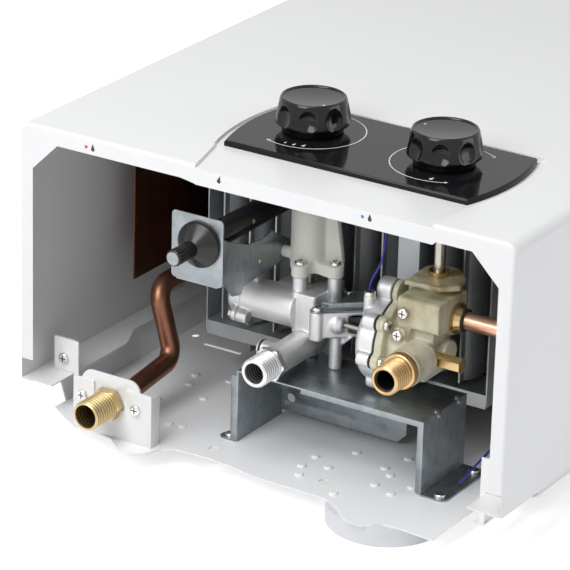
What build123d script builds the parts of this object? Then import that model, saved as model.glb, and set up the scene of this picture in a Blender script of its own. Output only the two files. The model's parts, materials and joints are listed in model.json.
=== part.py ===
from build123d import *
import math
import os

# A wall-hung gas water heater, modelled as it lies on its back: X runs across the cover, Y from the
# connection end to the flue end, and Z out of the front face. While it is drawn, Y = 0 is the cover's
# connection edge and Z = 0 the cover's rear edge. At export every piece is shifted alike, so that the
# origin is the middle of the footprint, on the plane that the feet rest on.

# Clearances
fit_gap = 0.05
piece_gap = 0.3
screw_gap = 0.15

# Front cover
cover_width = 390.0
cover_length = 600.0
cover_depth = 194.0
half_width = cover_width / 2
sheet = 1.0
cover_bend = 8.0
cover_end_bend = 2.5
end_lip = 11.7
side_lip = 11.0
gusset = 20.7
return_flange = 27.0
return_flange_slim = 17.0
slim_from = 95.0
slim_to = 117.0
side_lip_notch = 16.5
recess_depth = 2.3
recess_margin = 5.0
recess_left = -50.0
recess_right = 134.0

# Control panel and knobs
panel_x0 = -58.0
panel_x1 = 132.0
panel_y0 = 47.5
panel_y1 = 144.0
panel_bulge = 8.0
panel_thick = 4.0
panel_bevel = 1.2
gas_knob_x = -19.5
gas_knob_y = 100.0
water_knob_x = 85.7
water_knob_y = 98.0
knob_lift = 0.8
knob_height = 24.5
knob_rim_r = 23.0
knob_skirt_r = 26.3
knob_foot_r = 21.5
knob_foot_h = 5.0
knob_rim_w = 2.2
knob_dish = 1.8
knob_socket_depth = 15.0
scallop_count = 8
scallop_r = 9.0
scallop_depth = 2.6
scallop_z = 13.5
spindle_r = 4.0
spindle_hole_r = 5.5

# Back plate
plate_drop = 22.7
plate_sheet = 1.0
plate_half_width = half_width - 19.3
plate_flange_half = half_width - 5.0
plate_wall_top_half = half_width - 13.0
plate_right_x = half_width - 44.0
plate_step_y = 72.0
plate_shoulder_y = 86.0
plate_left_y = 15.3
plate_corner = 17.3
plate_edge_y = 3.6
plate_right_y = -12.6
dimple_r = 3.2
dimple_h = 1.5
dimple_round = 1.3
wall_hole_r = 3.5
wall_hole_x = 45.0
wall_hole_low_y = 22.0
vent_hole_r = 3.0
vent_hole_x = 165.0
vent_hole_y = 180.0
vent_slot_x0 = -150.0
vent_slot_x1 = -120.0
vent_slot_y = 171.0
vent_slot_r = 1.8
hang_tab_length = 24.0
hang_tab_width = 30.0

# Spacer feet
foot_height = 14.3
foot_r = 41.0
foot_x = 95.0
foot_front_y = 21.0
foot_back_y = 80.0
small_foot_r = 24.0
left_foot_y = 92.0
top_foot_y = cover_length - 40.0

# Cover fixing tabs
tab_x = half_width - 19.0
tab_half_width = 8.5
tab_y = 27.0
tab_top = 26.0
tab_screw_z = 11.0
tab_root = 4.0

# Screws
screw_head_r = 4.0
screw_head_h = 2.4
screw_shank_r = 1.9
screw_cross = 0.9

# Water and gas connections
port_r = 10.65
port_bore_r = 8.3
port_thread = 18.0

# Hot outlet
hot_x = 79.2 - half_width
hot_z = 3.2
hot_face_y = -32.8
hot_thread = 23.0
hot_collar_r = 12.4
bracket_y = -3.6
bracket_sheet = 1.5
bracket_x0 = hot_x - 30.5
bracket_x1 = hot_x + 35.3
bracket_top = 16.5
bracket_notch_half = 13.0
bracket_notch_z = 0.0
bracket_return = 9.0
bracket_foot = 17.0
clamp_x0 = hot_x - 24.2
clamp_x1 = hot_x + 24.8
clamp_top = 23.5
clamp_corner = 9.0
clamp_foot_inset = 8.0
bracket_screw_dx = 22.5
bracket_screw_z = 3.6
hot_pipe_r = 7.0
hot_bend_y = 26.0
hot_run_y0 = 150.0
hot_run_y1 = 190.0
hot_bends = [40.0, 13.0, 13.0, 30.0, 30.0, 9.0]
pipe_wall = 0.8
hot_rise_y = 76.0
hot_rise_z = 9.0
hot_run_x = hot_x - 14.6
hot_run_z = 61.0
hot_side_x = 34.0 - half_width

# Support table
table_x0 = -39.0
table_x1 = 110.7
table_y0 = 40.8
table_y1 = 99.8
table_top = 31.7
table_sheet = 1.2
table_foot_slim = 14.0
table_foot_wide = 19.5
table_foot_r = 4.0
table_return = 4.5
table_lip = 3.0
table_lip_x0 = 13.0
apron_x1 = 65.0
apron_z0 = -19.0
apron_corner = 7.0

# Gas valve casting
gas_x0 = -19.0
gas_x1 = 0.5
gas_y0 = 77.0
gas_y1 = 117.0
gas_z0 = 53.5
gas_z1 = 83.5
deck_x0 = -37.0
deck_y0 = 86.0
barrel_y = 84.0
barrel_z = 69.0
barrel_r = 14.0
barrel_x0 = -58.0
solenoid_length = 11.0
lug_r = 4.6
lug_ring_r = 17.5
arm_x1 = 44.0
arm_y0 = 71.0
arm_z0 = 57.0
arm_z1 = 76.0
arm_slant_x0 = 9.0
arm_slant_x1 = 31.0
arm_slant_y = 90.0
arm_end_y0 = 98.0
rod_boss_x1 = 22.0
rod_boss_r = 7.5
rod_boss_nose_r = 5.0
inlet_x = -9.0
inlet_z = 46.3
side_boss_r = 5.5
side_boss_reach = 19.0
side_boss_y = 52.0
side_boss_rise = 2.0
gas_face_y = 14.5
hex_length = 5.0
hex_r = 12.9
neck_r = 10.4
leg_r = 4.5
leg_x = 14.0
leg_y = 84.0
leg_back_x = -11.0
post_r = 5.0
valve_plate = 1.2
valve_plate_bulge = 3.4
valve_screw_x = 5.0
valve_screw_y = 73.0
valve_lobe_r = 5.2

# Spindle column
column_r = 13.0
column_lobe_r = 6.2
column_flange_z = 94.0
column_flange_h = 9.0
column_top = cover_depth - 6.5
column_bore_r = 6.0
column_bush = 10.0
column_rib = 5.0
column_lug_r = 4.2

# Water valve cup
cup_x0 = 47.0
cup_x1 = 62.0
cup_wall = 2.4
cup_round = 5.0
cup_r = 31.0
cup_inner_r = 25.0
cup_lug_r = 5.6
cup_crown_r = 8.5
cup_crown_z = 102.5
cup_ear_r = 4.2
cup_ear_x = 48.8
cup_ear_y = 69.0
cup_ear_z = 101.0
diaphragm = 1.2

# Push rod, poppet and micro switch
rod_y_at = 82.0
rod_z_at = 66.8
rod_r = 2.0
rod_x0 = 6.0
rod_disc_r = 14.0
rod_disc = 1.6
rod_x1 = cup_x1 - piece_gap - rod_disc
poppet_r = 3.2
poppet_length = 7.0
poppet_stem = 3.0
chamber_r = 3.7
chamber_x0 = -8.0
chamber_x1 = 9.0
strut_r = 3.0
switch_x0 = 24.0
switch_x1 = 40.0
switch_wide = 7.0
switch_low = 6.0
switch_high = 6.0

# Water valve body
body_x1 = 97.0
body_y0 = 60.0
body_y1 = 97.0
body_z0 = 49.0
body_z1 = 77.0
waist_x1 = 99.0
waist_y0 = 70.0
head_x0 = 72.5
head_x1 = 105.0
head_y0 = 65.0
head_y1 = 104.0
head_z0 = 84.5
head_z1 = 106.5
cap_plate_z0 = 111.0
cold_x = 94.3
cold_z = 68.0
cold_face_y = 13.6
cold_collar = 6.0
boss_r = 13.4
spindle_boss_r = 11.0
spindle_boss_top = 114.5
water_spindle_low = 88.0
collar_h = 3.6
collar_r = 7.0
outlet_y = 90.7
outlet_z = 89.8
nut_r = 11.0
nut_length = 2.5
nut_nose = 4.0
nut_nose_r = 8.0
cold_pipe_r = 6.35
cold_side_x = half_width - 29.0
drain_y = 68.5
drain_z = 66.8
drain_hex_r = 5.6
drain_length = 24.0
drain_shank_r = 3.5

# Battery holder
battery_x = -56.5
battery_z = 129.7
battery_plate_y = 17.6
battery_sheet = 1.0
tube_r = 9.0
cell_r = 7.1
cell_length = 48.4
cell_nub = 1.4
cap_r = 16.6
cap_cone = 8.0
cap_rim = 3.0
grip_r = 6.0
grip_length = 22.0
holder_x0 = -79.6
holder_x1 = -37.8
holder_z0 = 101.0
holder_z1 = 150.0
arm_screw_y = 96.0
arm_screw_z = 103.7
arm_root = (137.0, 104.0)
arm_edge = [
    (26.4, 131.8),
    (48.5, 123.3),
    (67.9, 121.0),
    (80.4, 123.4),
    (105.0, 108.9),
    (103.9, 102.8),
    (98.5, 97.2),
    (84.4, 96.1),
    (44.2, 93.4),
    (41.7, 88.6),
    (30.7, 90.8),
    (22.2, 100.9),
]

# Burner
bar_count = 10
bar_pitch = 21.8
bar_x0 = -104.6
bar_y0 = 122.4
bar_lip = 6.0
bar_lip_w = 1.2
bar_body = 30.0
bar_half = 6.6
bar_top_y = 180.0
bar_top_half = 2.8
bar_mouth = 40.0
bar_z1 = cover_depth - 9.0
manifold_bottom = 13.5
manifold_top = 24.0
manifold_y0 = 119.0
manifold_y1 = 150.0
frame_x = 116.0
frame_y1 = 189.5
frame_low = 16.0
frame_leg = 11.5
rail_depth = 21.5
strap_x0 = 40.5
strap_x1 = 57.3
strap_y = 120.0
strap_z0 = 60.0
jet_r = 2.6
jet_h = 2.0
electrode_r = 3.0
electrode_x0 = -40.0
electrode_x1 = 36.0

# Combustion chamber and flue
chamber_half = half_width - 45.0
chamber_y0 = 190.0
chamber_y1 = cover_length - 140.0
chamber_z0 = 5.0
chamber_z1 = cover_depth - 9.0
copper_sheet = 1.0
row_count = 5
row_y = cover_length - 170.0
row_top = cover_depth - 43.0
row_pitch = 22.5
cold_rise_y0 = row_y - 130.0
cold_rise_y1 = row_y - 35.0
cold_bends = [14.0, 40.0, 25.0, 9.0]
fin_count = 24
fin_sheet = 0.5
fin_depth = 42.0
flue_half = 100.0
flue_z0 = 60.0
flue_z1 = cover_depth - 44.0
leg_inset = 20.0
leg_half = 8.0
leg_depth = 20.0
shield_x = 23.0 - half_width
shield_y0 = 107.0
shield_y1 = chamber_y1 - 70.0
shield_z0 = 45.6
shield_clip = 30.0

# Igniter box and leads
igniter_x0 = chamber_half - 106.0
igniter_x1 = chamber_half - 46.0
igniter_y0 = 215.0
igniter_y1 = 262.0
igniter_height = 20.0
lead = 1.6

# Exhaust grille, handle and its ears
grille_margin = 12.0
grille_thick = 5.0
grille_slots = 7
handle_rod_r = 5.0
handle_pin_r = 3.0
handle_half = 70.0
handle_pivot_y = cover_length + 14.0
handle_pivot_z = 26.0
handle_reach = 42.0
ear_sheet = 2.0
ear_r = 7.0

plate_top = -plate_drop
plate_bottom = plate_top - plate_sheet
rest_z = plate_bottom - foot_height
y_low = hot_face_y
y_high = handle_pivot_y + handle_reach + handle_rod_r
y_middle = (y_low + y_high) / 2
recess_floor = cover_depth - recess_depth
panel_top = recess_floor + panel_thick
cover_inner = cover_depth - sheet
table_under = table_top - table_sheet
hang_hole_y = cover_length + hang_tab_length / 2

os.makedirs("parts", exist_ok=True)
frame_shift = Pos(0, -y_middle, -rest_z)


def save(shape, name):
    export_step(frame_shift * shape, f"parts/{name}.step")


def group(shapes):
    solids = [solid for shape in shapes for solid in shape.solids()]
    return Compound(solids)


def block(x0, x1, y0, y1, z0, z1):
    centre = Pos((x0 + x1) / 2, (y0 + y1) / 2, (z0 + z1) / 2)
    return centre * Box(x1 - x0, y1 - y0, z1 - z0)


def span(side, near, far, y0, y1, z0, z1):
    # a block on the right for side 1 and its mirror image on the left for side -1
    return block(min(side * near, side * far), max(side * near, side * far), y0, y1, z0, z1)


def rod_x(radius, x0, x1, y, z):
    return Pos((x0 + x1) / 2, y, z) * Rot(0, 90, 0) * Cylinder(radius, x1 - x0)


def rod_y(radius, y0, y1, x, z):
    return Pos(x, (y0 + y1) / 2, z) * Rot(90, 0, 0) * Cylinder(radius, y1 - y0)


def rod_z(radius, z0, z1, x, y):
    return Pos(x, y, (z0 + z1) / 2) * Cylinder(radius, z1 - z0)


def hex_x(radius, x0, x1, y, z):
    return Pos(x0, y, z) * Rot(0, 90, 0) * extrude(RegularPolygon(radius, 6), x1 - x0)


def hex_y(radius, y0, y1, x, z):
    return Pos(x, y1, z) * Rot(90, 0, 0) * extrude(RegularPolygon(radius, 6), y1 - y0)


def prism(points, height):
    outline = make_face(Polyline(*points, close=True))
    return extrude(outline, height, dir=(0, 0, 1))


def plate_xy(points, z0, z1):
    return Pos(0, 0, z0) * prism(points, z1 - z0)


def plate_xz(points, y0, y1):
    plane = Plane(origin=(0, y1, 0), x_dir=(1, 0, 0), z_dir=(0, -1, 0))
    return plane.location * prism(points, y1 - y0)


def plate_yz(points, x0, x1):
    plane = Plane(origin=(x0, 0, 0), x_dir=(0, 1, 0), z_dir=(1, 0, 0))
    return plane.location * prism(points, x1 - x0)


def seat(spot, toward, shape):
    return Plane(origin=spot, z_dir=toward).location * shape


def screw(spot, toward, length):
    # spot lies under the head, and toward is the way that the head faces
    low = (Align.CENTER, Align.CENTER, Align.MIN)
    high = (Align.CENTER, Align.CENTER, Align.MAX)
    head = Cylinder(screw_head_r, screw_head_h, align=low)
    head = fillet(head.edges().group_by(Axis.Z)[-1], screw_head_h / 2)
    arm = Box(screw_head_r * 1.2, screw_cross, screw_head_h, align=low)
    cross = Pos(0, 0, screw_head_h / 2) * (arm + Rot(0, 0, 90) * arm)
    shank = Cylinder(screw_shank_r, length, align=high)
    return seat(spot, toward, head - cross + shank)


def screw_hole(spot, toward, length):
    tall = 2 * length
    return seat(spot, toward, Cylinder(screw_shank_r + screw_gap, tall))


def pipe(points, radii, outer_r, inner_r):
    path = FilletPolyline(*points, radius=radii)
    section = Circle(outer_r) - Circle(inner_r)
    return sweep(Plane(origin=path @ 0, z_dir=path % 0) * section, path=path)


def wire(points, radius, thickness):
    path = FilletPolyline(*points, radius=radius)
    return sweep(Plane(origin=path @ 0, z_dir=path % 0) * Circle(thickness / 2), path=path)


def panel_outline(margin):
    # a rectangle whose two short sides bulge outwards
    x0 = panel_x0 - margin
    x1 = panel_x1 + margin
    y0 = panel_y0 - margin
    y1 = panel_y1 + margin
    middle = (y0 + y1) / 2
    low = Line((x0, y0), (x1, y0))
    right = ThreePointArc((x1, y0), (x1 + panel_bulge, middle), (x1, y1))
    high = Line((x1, y1), (x0, y1))
    left = ThreePointArc((x0, y1), (x0 - panel_bulge, middle), (x0, y0))
    return make_face([low, right, high, left])


# ---- front cover
def recess_outline(margin):
    apron = [
        (recess_left - margin, -sheet - margin),
        (recess_right + margin, -sheet - margin),
        (panel_x1 + recess_margin + margin, panel_y0),
        (panel_x0 - recess_margin - margin, panel_y0),
    ]
    return panel_outline(recess_margin + margin) + make_face(Polyline(*apron, close=True))


def make_cover():
    outer = block(-half_width, half_width, 0, cover_length, 0, cover_depth)
    long_edges = outer.edges().filter_by(Axis.Y).group_by(Axis.Z)[-1]
    outer = fillet(long_edges, cover_bend)
    inner_half = half_width - sheet
    inner = block(-inner_half, inner_half, sheet, cover_length - sheet, sheet, cover_inner)
    inner = fillet(inner.edges().filter_by(Axis.Y).group_by(Axis.Z)[-1], cover_bend - sheet)
    near = outer.faces().sort_by(Axis.Y)[0]
    outer = fillet(near.edges().filter_by(lambda e: e.center().Z > cover_bend), cover_end_bend)
    shell = outer - inner

    pan = Pos(0, 0, recess_floor - sheet) * extrude(recess_outline(sheet), cover_depth - recess_floor)
    pan = pan & block(-half_width, half_width, sheet / 2, cover_length, 0, cover_depth)
    hollow = Pos(0, 0, recess_floor) * extrude(recess_outline(0), recess_depth + sheet)
    shell = shell + pan - hollow

    # the mouth at the connection end, with its two corner gussets and the step under the recess
    mouth_half = half_width - side_lip
    mouth_top = cover_depth - end_lip
    mouth = [
        (-mouth_half, -sheet),
        (-mouth_half, mouth_top - gusset),
        (gusset - mouth_half, mouth_top),
        (recess_left - end_lip, mouth_top),
        (recess_left + recess_depth, mouth_top - recess_depth),
        (recess_right, mouth_top - recess_depth),
        (recess_right + recess_depth, mouth_top),
        (mouth_half - gusset, mouth_top),
        (mouth_half, mouth_top - gusset),
        (mouth_half, -sheet),
    ]
    shell = shell - plate_xz(mouth, -sheet, sheet)
    lip_fill = block(recess_left, recess_right, 0, sheet, mouth_top - recess_depth, recess_floor)
    shell = shell + lip_fill

    # the open back between the return flanges, and the notch below each side lip
    wide = half_width - return_flange
    slim = half_width - return_flange_slim
    far = cover_length - return_flange
    back = [(-wide, -sheet), (-wide, slim_from), (-slim, slim_to), (-slim, far)]
    back = back + [(-x, y) for x, y in reversed(back)]
    shell = shell - plate_xy(back, -sheet, sheet)
    for side in (-1, 1):
        x_in = side * (mouth_half - sheet)
        x_out = side * inner_half
        low_x = min(x_in, x_out)
        high_x = max(x_in, x_out)
        shell = shell - block(low_x, high_x, -sheet, sheet, sheet, side_lip_notch)

    # the fixing tabs that stand up from the return flanges behind the back plate's own tabs
    for side in (-1, 1):
        low_x = side * tab_x - tab_half_width
        high_x = side * tab_x + tab_half_width
        tab = block(low_x, high_x, tab_y + sheet, tab_y + 2 * sheet, sheet / 2, tab_top)
        tab = tab - screw_hole((side * tab_x, tab_y, tab_screw_z), (0, -1, 0), end_lip)
        shell = shell + tab

    # the spindle holes, the flue opening and the handle bracket's screw holes
    for x, y in knob_spots:
        shell = shell - rod_z(spindle_hole_r, recess_floor - 2 * sheet, cover_depth, x, y)
    flue = block(-flue_half, flue_half, cover_length - 2 * sheet, cover_length + sheet, flue_z0, flue_z1)
    shell = shell - flue
    for spot in handle_screw_spots:
        shell = shell - screw_hole(spot, (0, 1, 0), end_lip)
    for spot in grille_screw_spots:
        shell = shell - screw_hole(spot, (0, 1, 0), end_lip)
    return shell


knob_spots = [(gas_knob_x, gas_knob_y), (water_knob_x, water_knob_y)]
grille_half = flue_half + grille_margin
grille_z0 = flue_z0 - grille_margin
grille_z1 = flue_z1 + grille_margin
grille_screw_x = flue_half + grille_margin / 2
grille_screw_z = (flue_z0 + flue_z1) / 2
grille_screw_spots = [(side * grille_screw_x, cover_length, grille_screw_z) for side in (-1, 1)]
ear_x = handle_half + ear_sheet / 2 + piece_gap
ear_base = 2 * ear_r
handle_screw_x = ear_x + ear_base
handle_screw_spots = [(side * handle_screw_x, cover_length, handle_pivot_z) for side in (-1, 1)]
save(make_cover(), "front_cover")


# ---- control panel and knobs
def make_panel():
    panel = Pos(0, 0, recess_floor) * extrude(panel_outline(0), panel_thick)
    panel = chamfer(panel.edges().group_by(Axis.Z)[-1], panel_bevel)
    for x, y in knob_spots:
        panel = panel - rod_z(spindle_hole_r, recess_floor - sheet, panel_top + sheet, x, y)
    return panel


def make_knob(x, y):
    skirt_z = knob_foot_h + 1.5
    inner_r = knob_rim_r - knob_rim_w
    profile = [
        (0, 0),
        (knob_foot_r, 0),
        (knob_foot_r, knob_foot_h),
        (knob_skirt_r, skirt_z),
        (knob_skirt_r, skirt_z + 1.5),
        (knob_rim_r, knob_height - 1.0),
        (knob_rim_r - 0.8, knob_height),
        (inner_r, knob_height),
        (0, knob_height - knob_dish),
    ]
    face = make_face(Plane.XZ * Polyline(*profile, close=True))
    knob = revolve(face, Axis.Z)
    reach = (knob_skirt_r + knob_rim_r) / 2 + scallop_r - scallop_depth
    for index in range(scallop_count):
        turn = math.radians(360 / scallop_count * (index + 0.5))
        spot = Pos(reach * math.cos(turn), reach * math.sin(turn), scallop_z)
        knob = knob - spot * Sphere(scallop_r)
    knob = knob - Cylinder(spindle_r + fit_gap, 2 * knob_socket_depth)
    return Pos(x, y, panel_top + knob_lift) * knob


spindle_top = panel_top + knob_lift + knob_socket_depth - piece_gap
gas_spindle_z0 = gas_z1 - column_bush
water_spindle_z0 = water_spindle_low + piece_gap
save(make_panel(), "control_panel")
save(make_knob(gas_knob_x, gas_knob_y), "gas_knob")
save(make_knob(water_knob_x, water_knob_y), "water_knob")
save(rod_z(spindle_r, gas_spindle_z0, spindle_top, gas_knob_x, gas_knob_y), "gas_spindle")
save(rod_z(spindle_r, water_spindle_z0, spindle_top, water_knob_x, water_knob_y), "water_spindle")

# ---- back plate
table_screw_low = table_y0 + 4.5
table_screw_high = table_y1 - 7.5
foot_screw_x = table_x1 + table_foot_wide - 7.0
table_screw_spots = [
    (table_x0 - table_foot_slim / 2, table_screw_low, plate_top + table_sheet),
    (foot_screw_x, table_screw_low, plate_top + table_sheet),
    (foot_screw_x, table_screw_high, plate_top + table_sheet),
]
dimple_spots = [
    (-124, 119), (-119, 103), (-97, 88), (-98, 124), (-123, 67.5), (-93, 38), (-83, 40),
    (20, 52), (20, 34), (26, 21), (36.6, 42), (40, 74), (75, 86), (69, 64), (78, 56),
    (77, 37), (100, 47.8), (93, 31), (61, 9), (101, 68),
]


# the front edge of the plate: the tab under the hot outlet from hot_x, then the straight middle,
# then the tab over the front foot from foot_x
hot_tab_edge = [
    (-28.6, -3.5), (-8.1, -3.8), (3.3, -5.5), (9.5, -11.3), (18.9, -18.2),
    (28.8, -19.5), (36.3, -13.6), (41.3, 0.5), (49.8, 6.0),
]
middle_edge = [(-44.1, 7.4), (-23.0, 6.0), (-4.4, 2.0), (11.5, 0.7), (56.4, 0.1)]
foot_tab_edge = [
    (-31.0, -1.6), (-20.0, -8.6), (-10.8, -17.6), (-3.0, -21.8), (6.0, -21.8),
    (10.8, -18.0), (15.0, -11.5), (19.0, -10.3), (25.9, -10.3),
]
wall_starts = {-1: tab_y + sheet, 1: plate_shoulder_y}


def make_back_plate():
    # the front edge has a chamfered left corner and two rounded tabs
    edge = [(-plate_half_width, plate_left_y), (plate_corner - plate_half_width, plate_edge_y)]
    edge += [(hot_x + x, y) for x, y in hot_tab_edge]
    edge += middle_edge
    edge += [(foot_x + x, y) for x, y in foot_tab_edge]
    edge += [
        (plate_right_x, plate_right_y),
        (plate_right_x, plate_step_y),
        (plate_half_width, plate_shoulder_y),
        (plate_half_width, cover_length),
        (-plate_half_width, cover_length),
    ]
    plate = plate_xy(edge, plate_bottom, plate_top)
    wall_low = -piece_gap - plate_sheet
    for side in (-1, 1):
        wall = [
            (side * (plate_half_width - plate_sheet), plate_top),
            (side * plate_half_width, plate_bottom),
            (side * (plate_wall_top_half + plate_sheet), wall_low),
            (side * plate_flange_half, wall_low),
            (side * plate_flange_half, -piece_gap),
            (side * plate_wall_top_half, -piece_gap),
        ]
        plate = plate + plate_xz(wall, wall_starts[side], cover_length)
        x = side * wall_hole_x
        x0 = x - hang_tab_width / 2
        x1 = x + hang_tab_width / 2
        tab_far = cover_length + hang_tab_length
        tab = block(x0, x1, cover_length - sheet, tab_far, plate_bottom, plate_top)
        tab = fillet(tab.edges().filter_by(Axis.Z).group_by(Axis.Y)[-1], hang_tab_width / 3)
        plate = plate + tab
        plate = plate - rod_z(wall_hole_r, rest_z, 0, x, hang_hole_y)
        plate = plate - rod_z(wall_hole_r, rest_z, 0, x, wall_hole_low_y)
    dimple = rod_z(dimple_r, -plate_sheet / 2, dimple_h, 0, 0)
    dimple = fillet(dimple.edges().group_by(Axis.Z)[-1], dimple_round)
    for x, y in dimple_spots:
        plate = plate + Pos(x, y, plate_top) * dimple
    plate = plate - rod_z(vent_hole_r, rest_z, 0, -vent_hole_x, vent_hole_y)
    slot_y0 = vent_slot_y - vent_slot_r
    slot_y1 = vent_slot_y + vent_slot_r
    slot = block(vent_slot_x0, vent_slot_x1, slot_y0, slot_y1, rest_z, 0)
    for x in (vent_slot_x0, vent_slot_x1):
        slot = slot + rod_z(vent_slot_r, rest_z, 0, x, vent_slot_y)
    plate = plate - slot
    neck = half_width - return_flange - piece_gap
    root = neck - tab_root
    tab_low = piece_gap + sheet
    for side in (-1, 1):
        arm = span(side, neck - sheet, tab_x + tab_half_width, tab_y, tab_y + sheet, tab_low, tab_top)
        arm = arm + span(side, root, neck, tab_y, tab_y + sheet, plate_bottom, tab_top)
        arm_y1 = plate_shoulder_y + sheet
        arm = arm + span(side, root - tab_root, neck, tab_y, arm_y1, plate_bottom, plate_top)
        plate = plate + arm
        plate = plate - screw_hole((side * tab_x, tab_y, tab_screw_z), (0, -1, 0), end_lip)
    for spot in table_screw_spots + clamp_foot_spots:
        plate = plate - screw_hole(spot, (0, 0, 1), end_lip)
    return plate


def make_feet():
    front = rod_z(foot_r, rest_z, plate_bottom, foot_x, foot_front_y)
    front = front + block(foot_x - foot_r, foot_x + foot_r, foot_front_y, foot_back_y, rest_z, plate_bottom)
    feet = [front, rod_z(small_foot_r, rest_z, plate_bottom, -foot_x, left_foot_y)]
    for side in (-1, 1):
        feet.append(rod_z(small_foot_r, rest_z, plate_bottom, side * foot_x, top_foot_y))
    return group([fillet(foot.edges().group_by(Axis.Z)[0], sheet) for foot in feet])


bracket_face = bracket_y + bracket_sheet
clamp_foot_spots = [
    (clamp_x0 + clamp_foot_inset, bracket_face + bracket_foot / 2 + 2, plate_top + bracket_sheet),
    (clamp_x1 - clamp_foot_inset, bracket_face + bracket_foot / 2 + 2, plate_top + bracket_sheet),
]
save(make_back_plate(), "back_plate")
save(make_feet(), "spacer_feet")
plate_screws = [screw((side * tab_x, tab_y, tab_screw_z), (0, -1, 0), 6) for side in (-1, 1)]


# ---- hot outlet
bracket_screw_spots = [
    (hot_x - bracket_screw_dx, bracket_y, bracket_screw_z),
    (hot_x + bracket_screw_dx, bracket_y, bracket_screw_z),
]


def make_outlet_bracket():
    notch_x0 = hot_x - bracket_notch_half
    notch_x1 = hot_x + bracket_notch_half
    outline = [
        (bracket_x0, plate_top),
        (bracket_x0, bracket_top),
        (notch_x0, bracket_top),
        (notch_x0, bracket_notch_z),
        (notch_x1, bracket_notch_z),
        (notch_x1, bracket_top),
        (bracket_x1, bracket_top),
        (bracket_x1, plate_top),
    ]
    plate = plate_xz(outline, bracket_y, bracket_face)
    plate = fillet(plate.edges().filter_by(Axis.Y).group_by(Axis.Z)[-1], bracket_sheet)
    fold_x = bracket_x1 - bracket_sheet
    fold_y = bracket_face + bracket_return
    fold_z = bracket_top - bracket_sheet
    plate = plate + block(fold_x, bracket_x1, bracket_y, fold_y, plate_top, fold_z)
    plate = plate - rod_y(hot_spigot_r + fit_gap, bracket_y - sheet, bracket_face + sheet, hot_x, hot_z)
    for spot in bracket_screw_spots:
        plate = plate - screw_hole(spot, (0, -1, 0), end_lip)
    return plate


def make_clamp_plate():
    back_y = bracket_face + bracket_sheet
    plate = block(clamp_x0, clamp_x1, bracket_face, back_y, plate_top, clamp_top)
    plate = fillet(plate.edges().filter_by(Axis.Y).group_by(Axis.Z)[-1], clamp_corner)
    foot_y1 = bracket_face + bracket_foot
    foot = block(clamp_x0, clamp_x1, bracket_face, foot_y1, plate_top, plate_top + bracket_sheet)
    plate = plate + foot
    for spot in bracket_screw_spots:
        plate = plate - screw_hole(spot, (0, -1, 0), end_lip)
    for spot in clamp_foot_spots:
        plate = plate - screw_hole(spot, (0, 0, 1), 4)
    plate = plate - rod_y(hot_spigot_r + fit_gap, bracket_y, back_y + sheet, hot_x, hot_z)
    return plate


def make_hot_outlet():
    thread_end = hot_face_y + hot_thread
    fitting = rod_y(port_r, hot_face_y, thread_end, hot_x, hot_z)
    fitting = chamfer(fitting.edges().group_by(Axis.Y)[0], 1.0)
    fitting = fitting + hex_y(hot_collar_r, thread_end, bracket_y, hot_x, hot_z)
    spigot_end = bracket_face + bracket_foot / 2
    fitting = fitting + rod_y(hot_spigot_r, thread_end, spigot_end, hot_x, hot_z)
    fitting = fitting - rod_y(port_bore_r, hot_face_y - 1, thread_end, hot_x, hot_z)
    fitting = fitting - rod_y(hot_pipe_r + fit_gap, thread_end - 1, spigot_end + 1, hot_x, hot_z)
    return fitting


hot_spigot_r = hot_pipe_r + 1.2
hot_start_y = hot_face_y + hot_thread + 1
row_bottom = row_top - row_pitch * (row_count - 1)
joint_x = chamber_half + piece_gap
hot_route = [
    (hot_x, hot_start_y, hot_z),
    (hot_x, hot_bend_y, hot_z),
    (hot_x, hot_rise_y, hot_rise_z),
    (hot_run_x, hot_rise_y, hot_run_z - 1),
    (hot_run_x, hot_run_y0, row_bottom),
    (hot_side_x, hot_run_y1, row_bottom),
    (hot_side_x, row_y, row_bottom),
    (-joint_x, row_y, row_bottom),
]
hot_pipe = pipe(hot_route, hot_bends, hot_pipe_r, hot_pipe_r - pipe_wall)
save(make_outlet_bracket(), "outlet_bracket")
save(make_clamp_plate(), "clamp_plate")
save(make_hot_outlet(), "hot_outlet")
save(hot_pipe, "hot_pipe")
clamp_grip = bracket_sheet + plate_sheet
plate_screws += [screw(spot, (0, -1, 0), 8) for spot in bracket_screw_spots]
plate_screws += [screw(spot, (0, 0, 1), clamp_grip) for spot in clamp_foot_spots]


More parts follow.
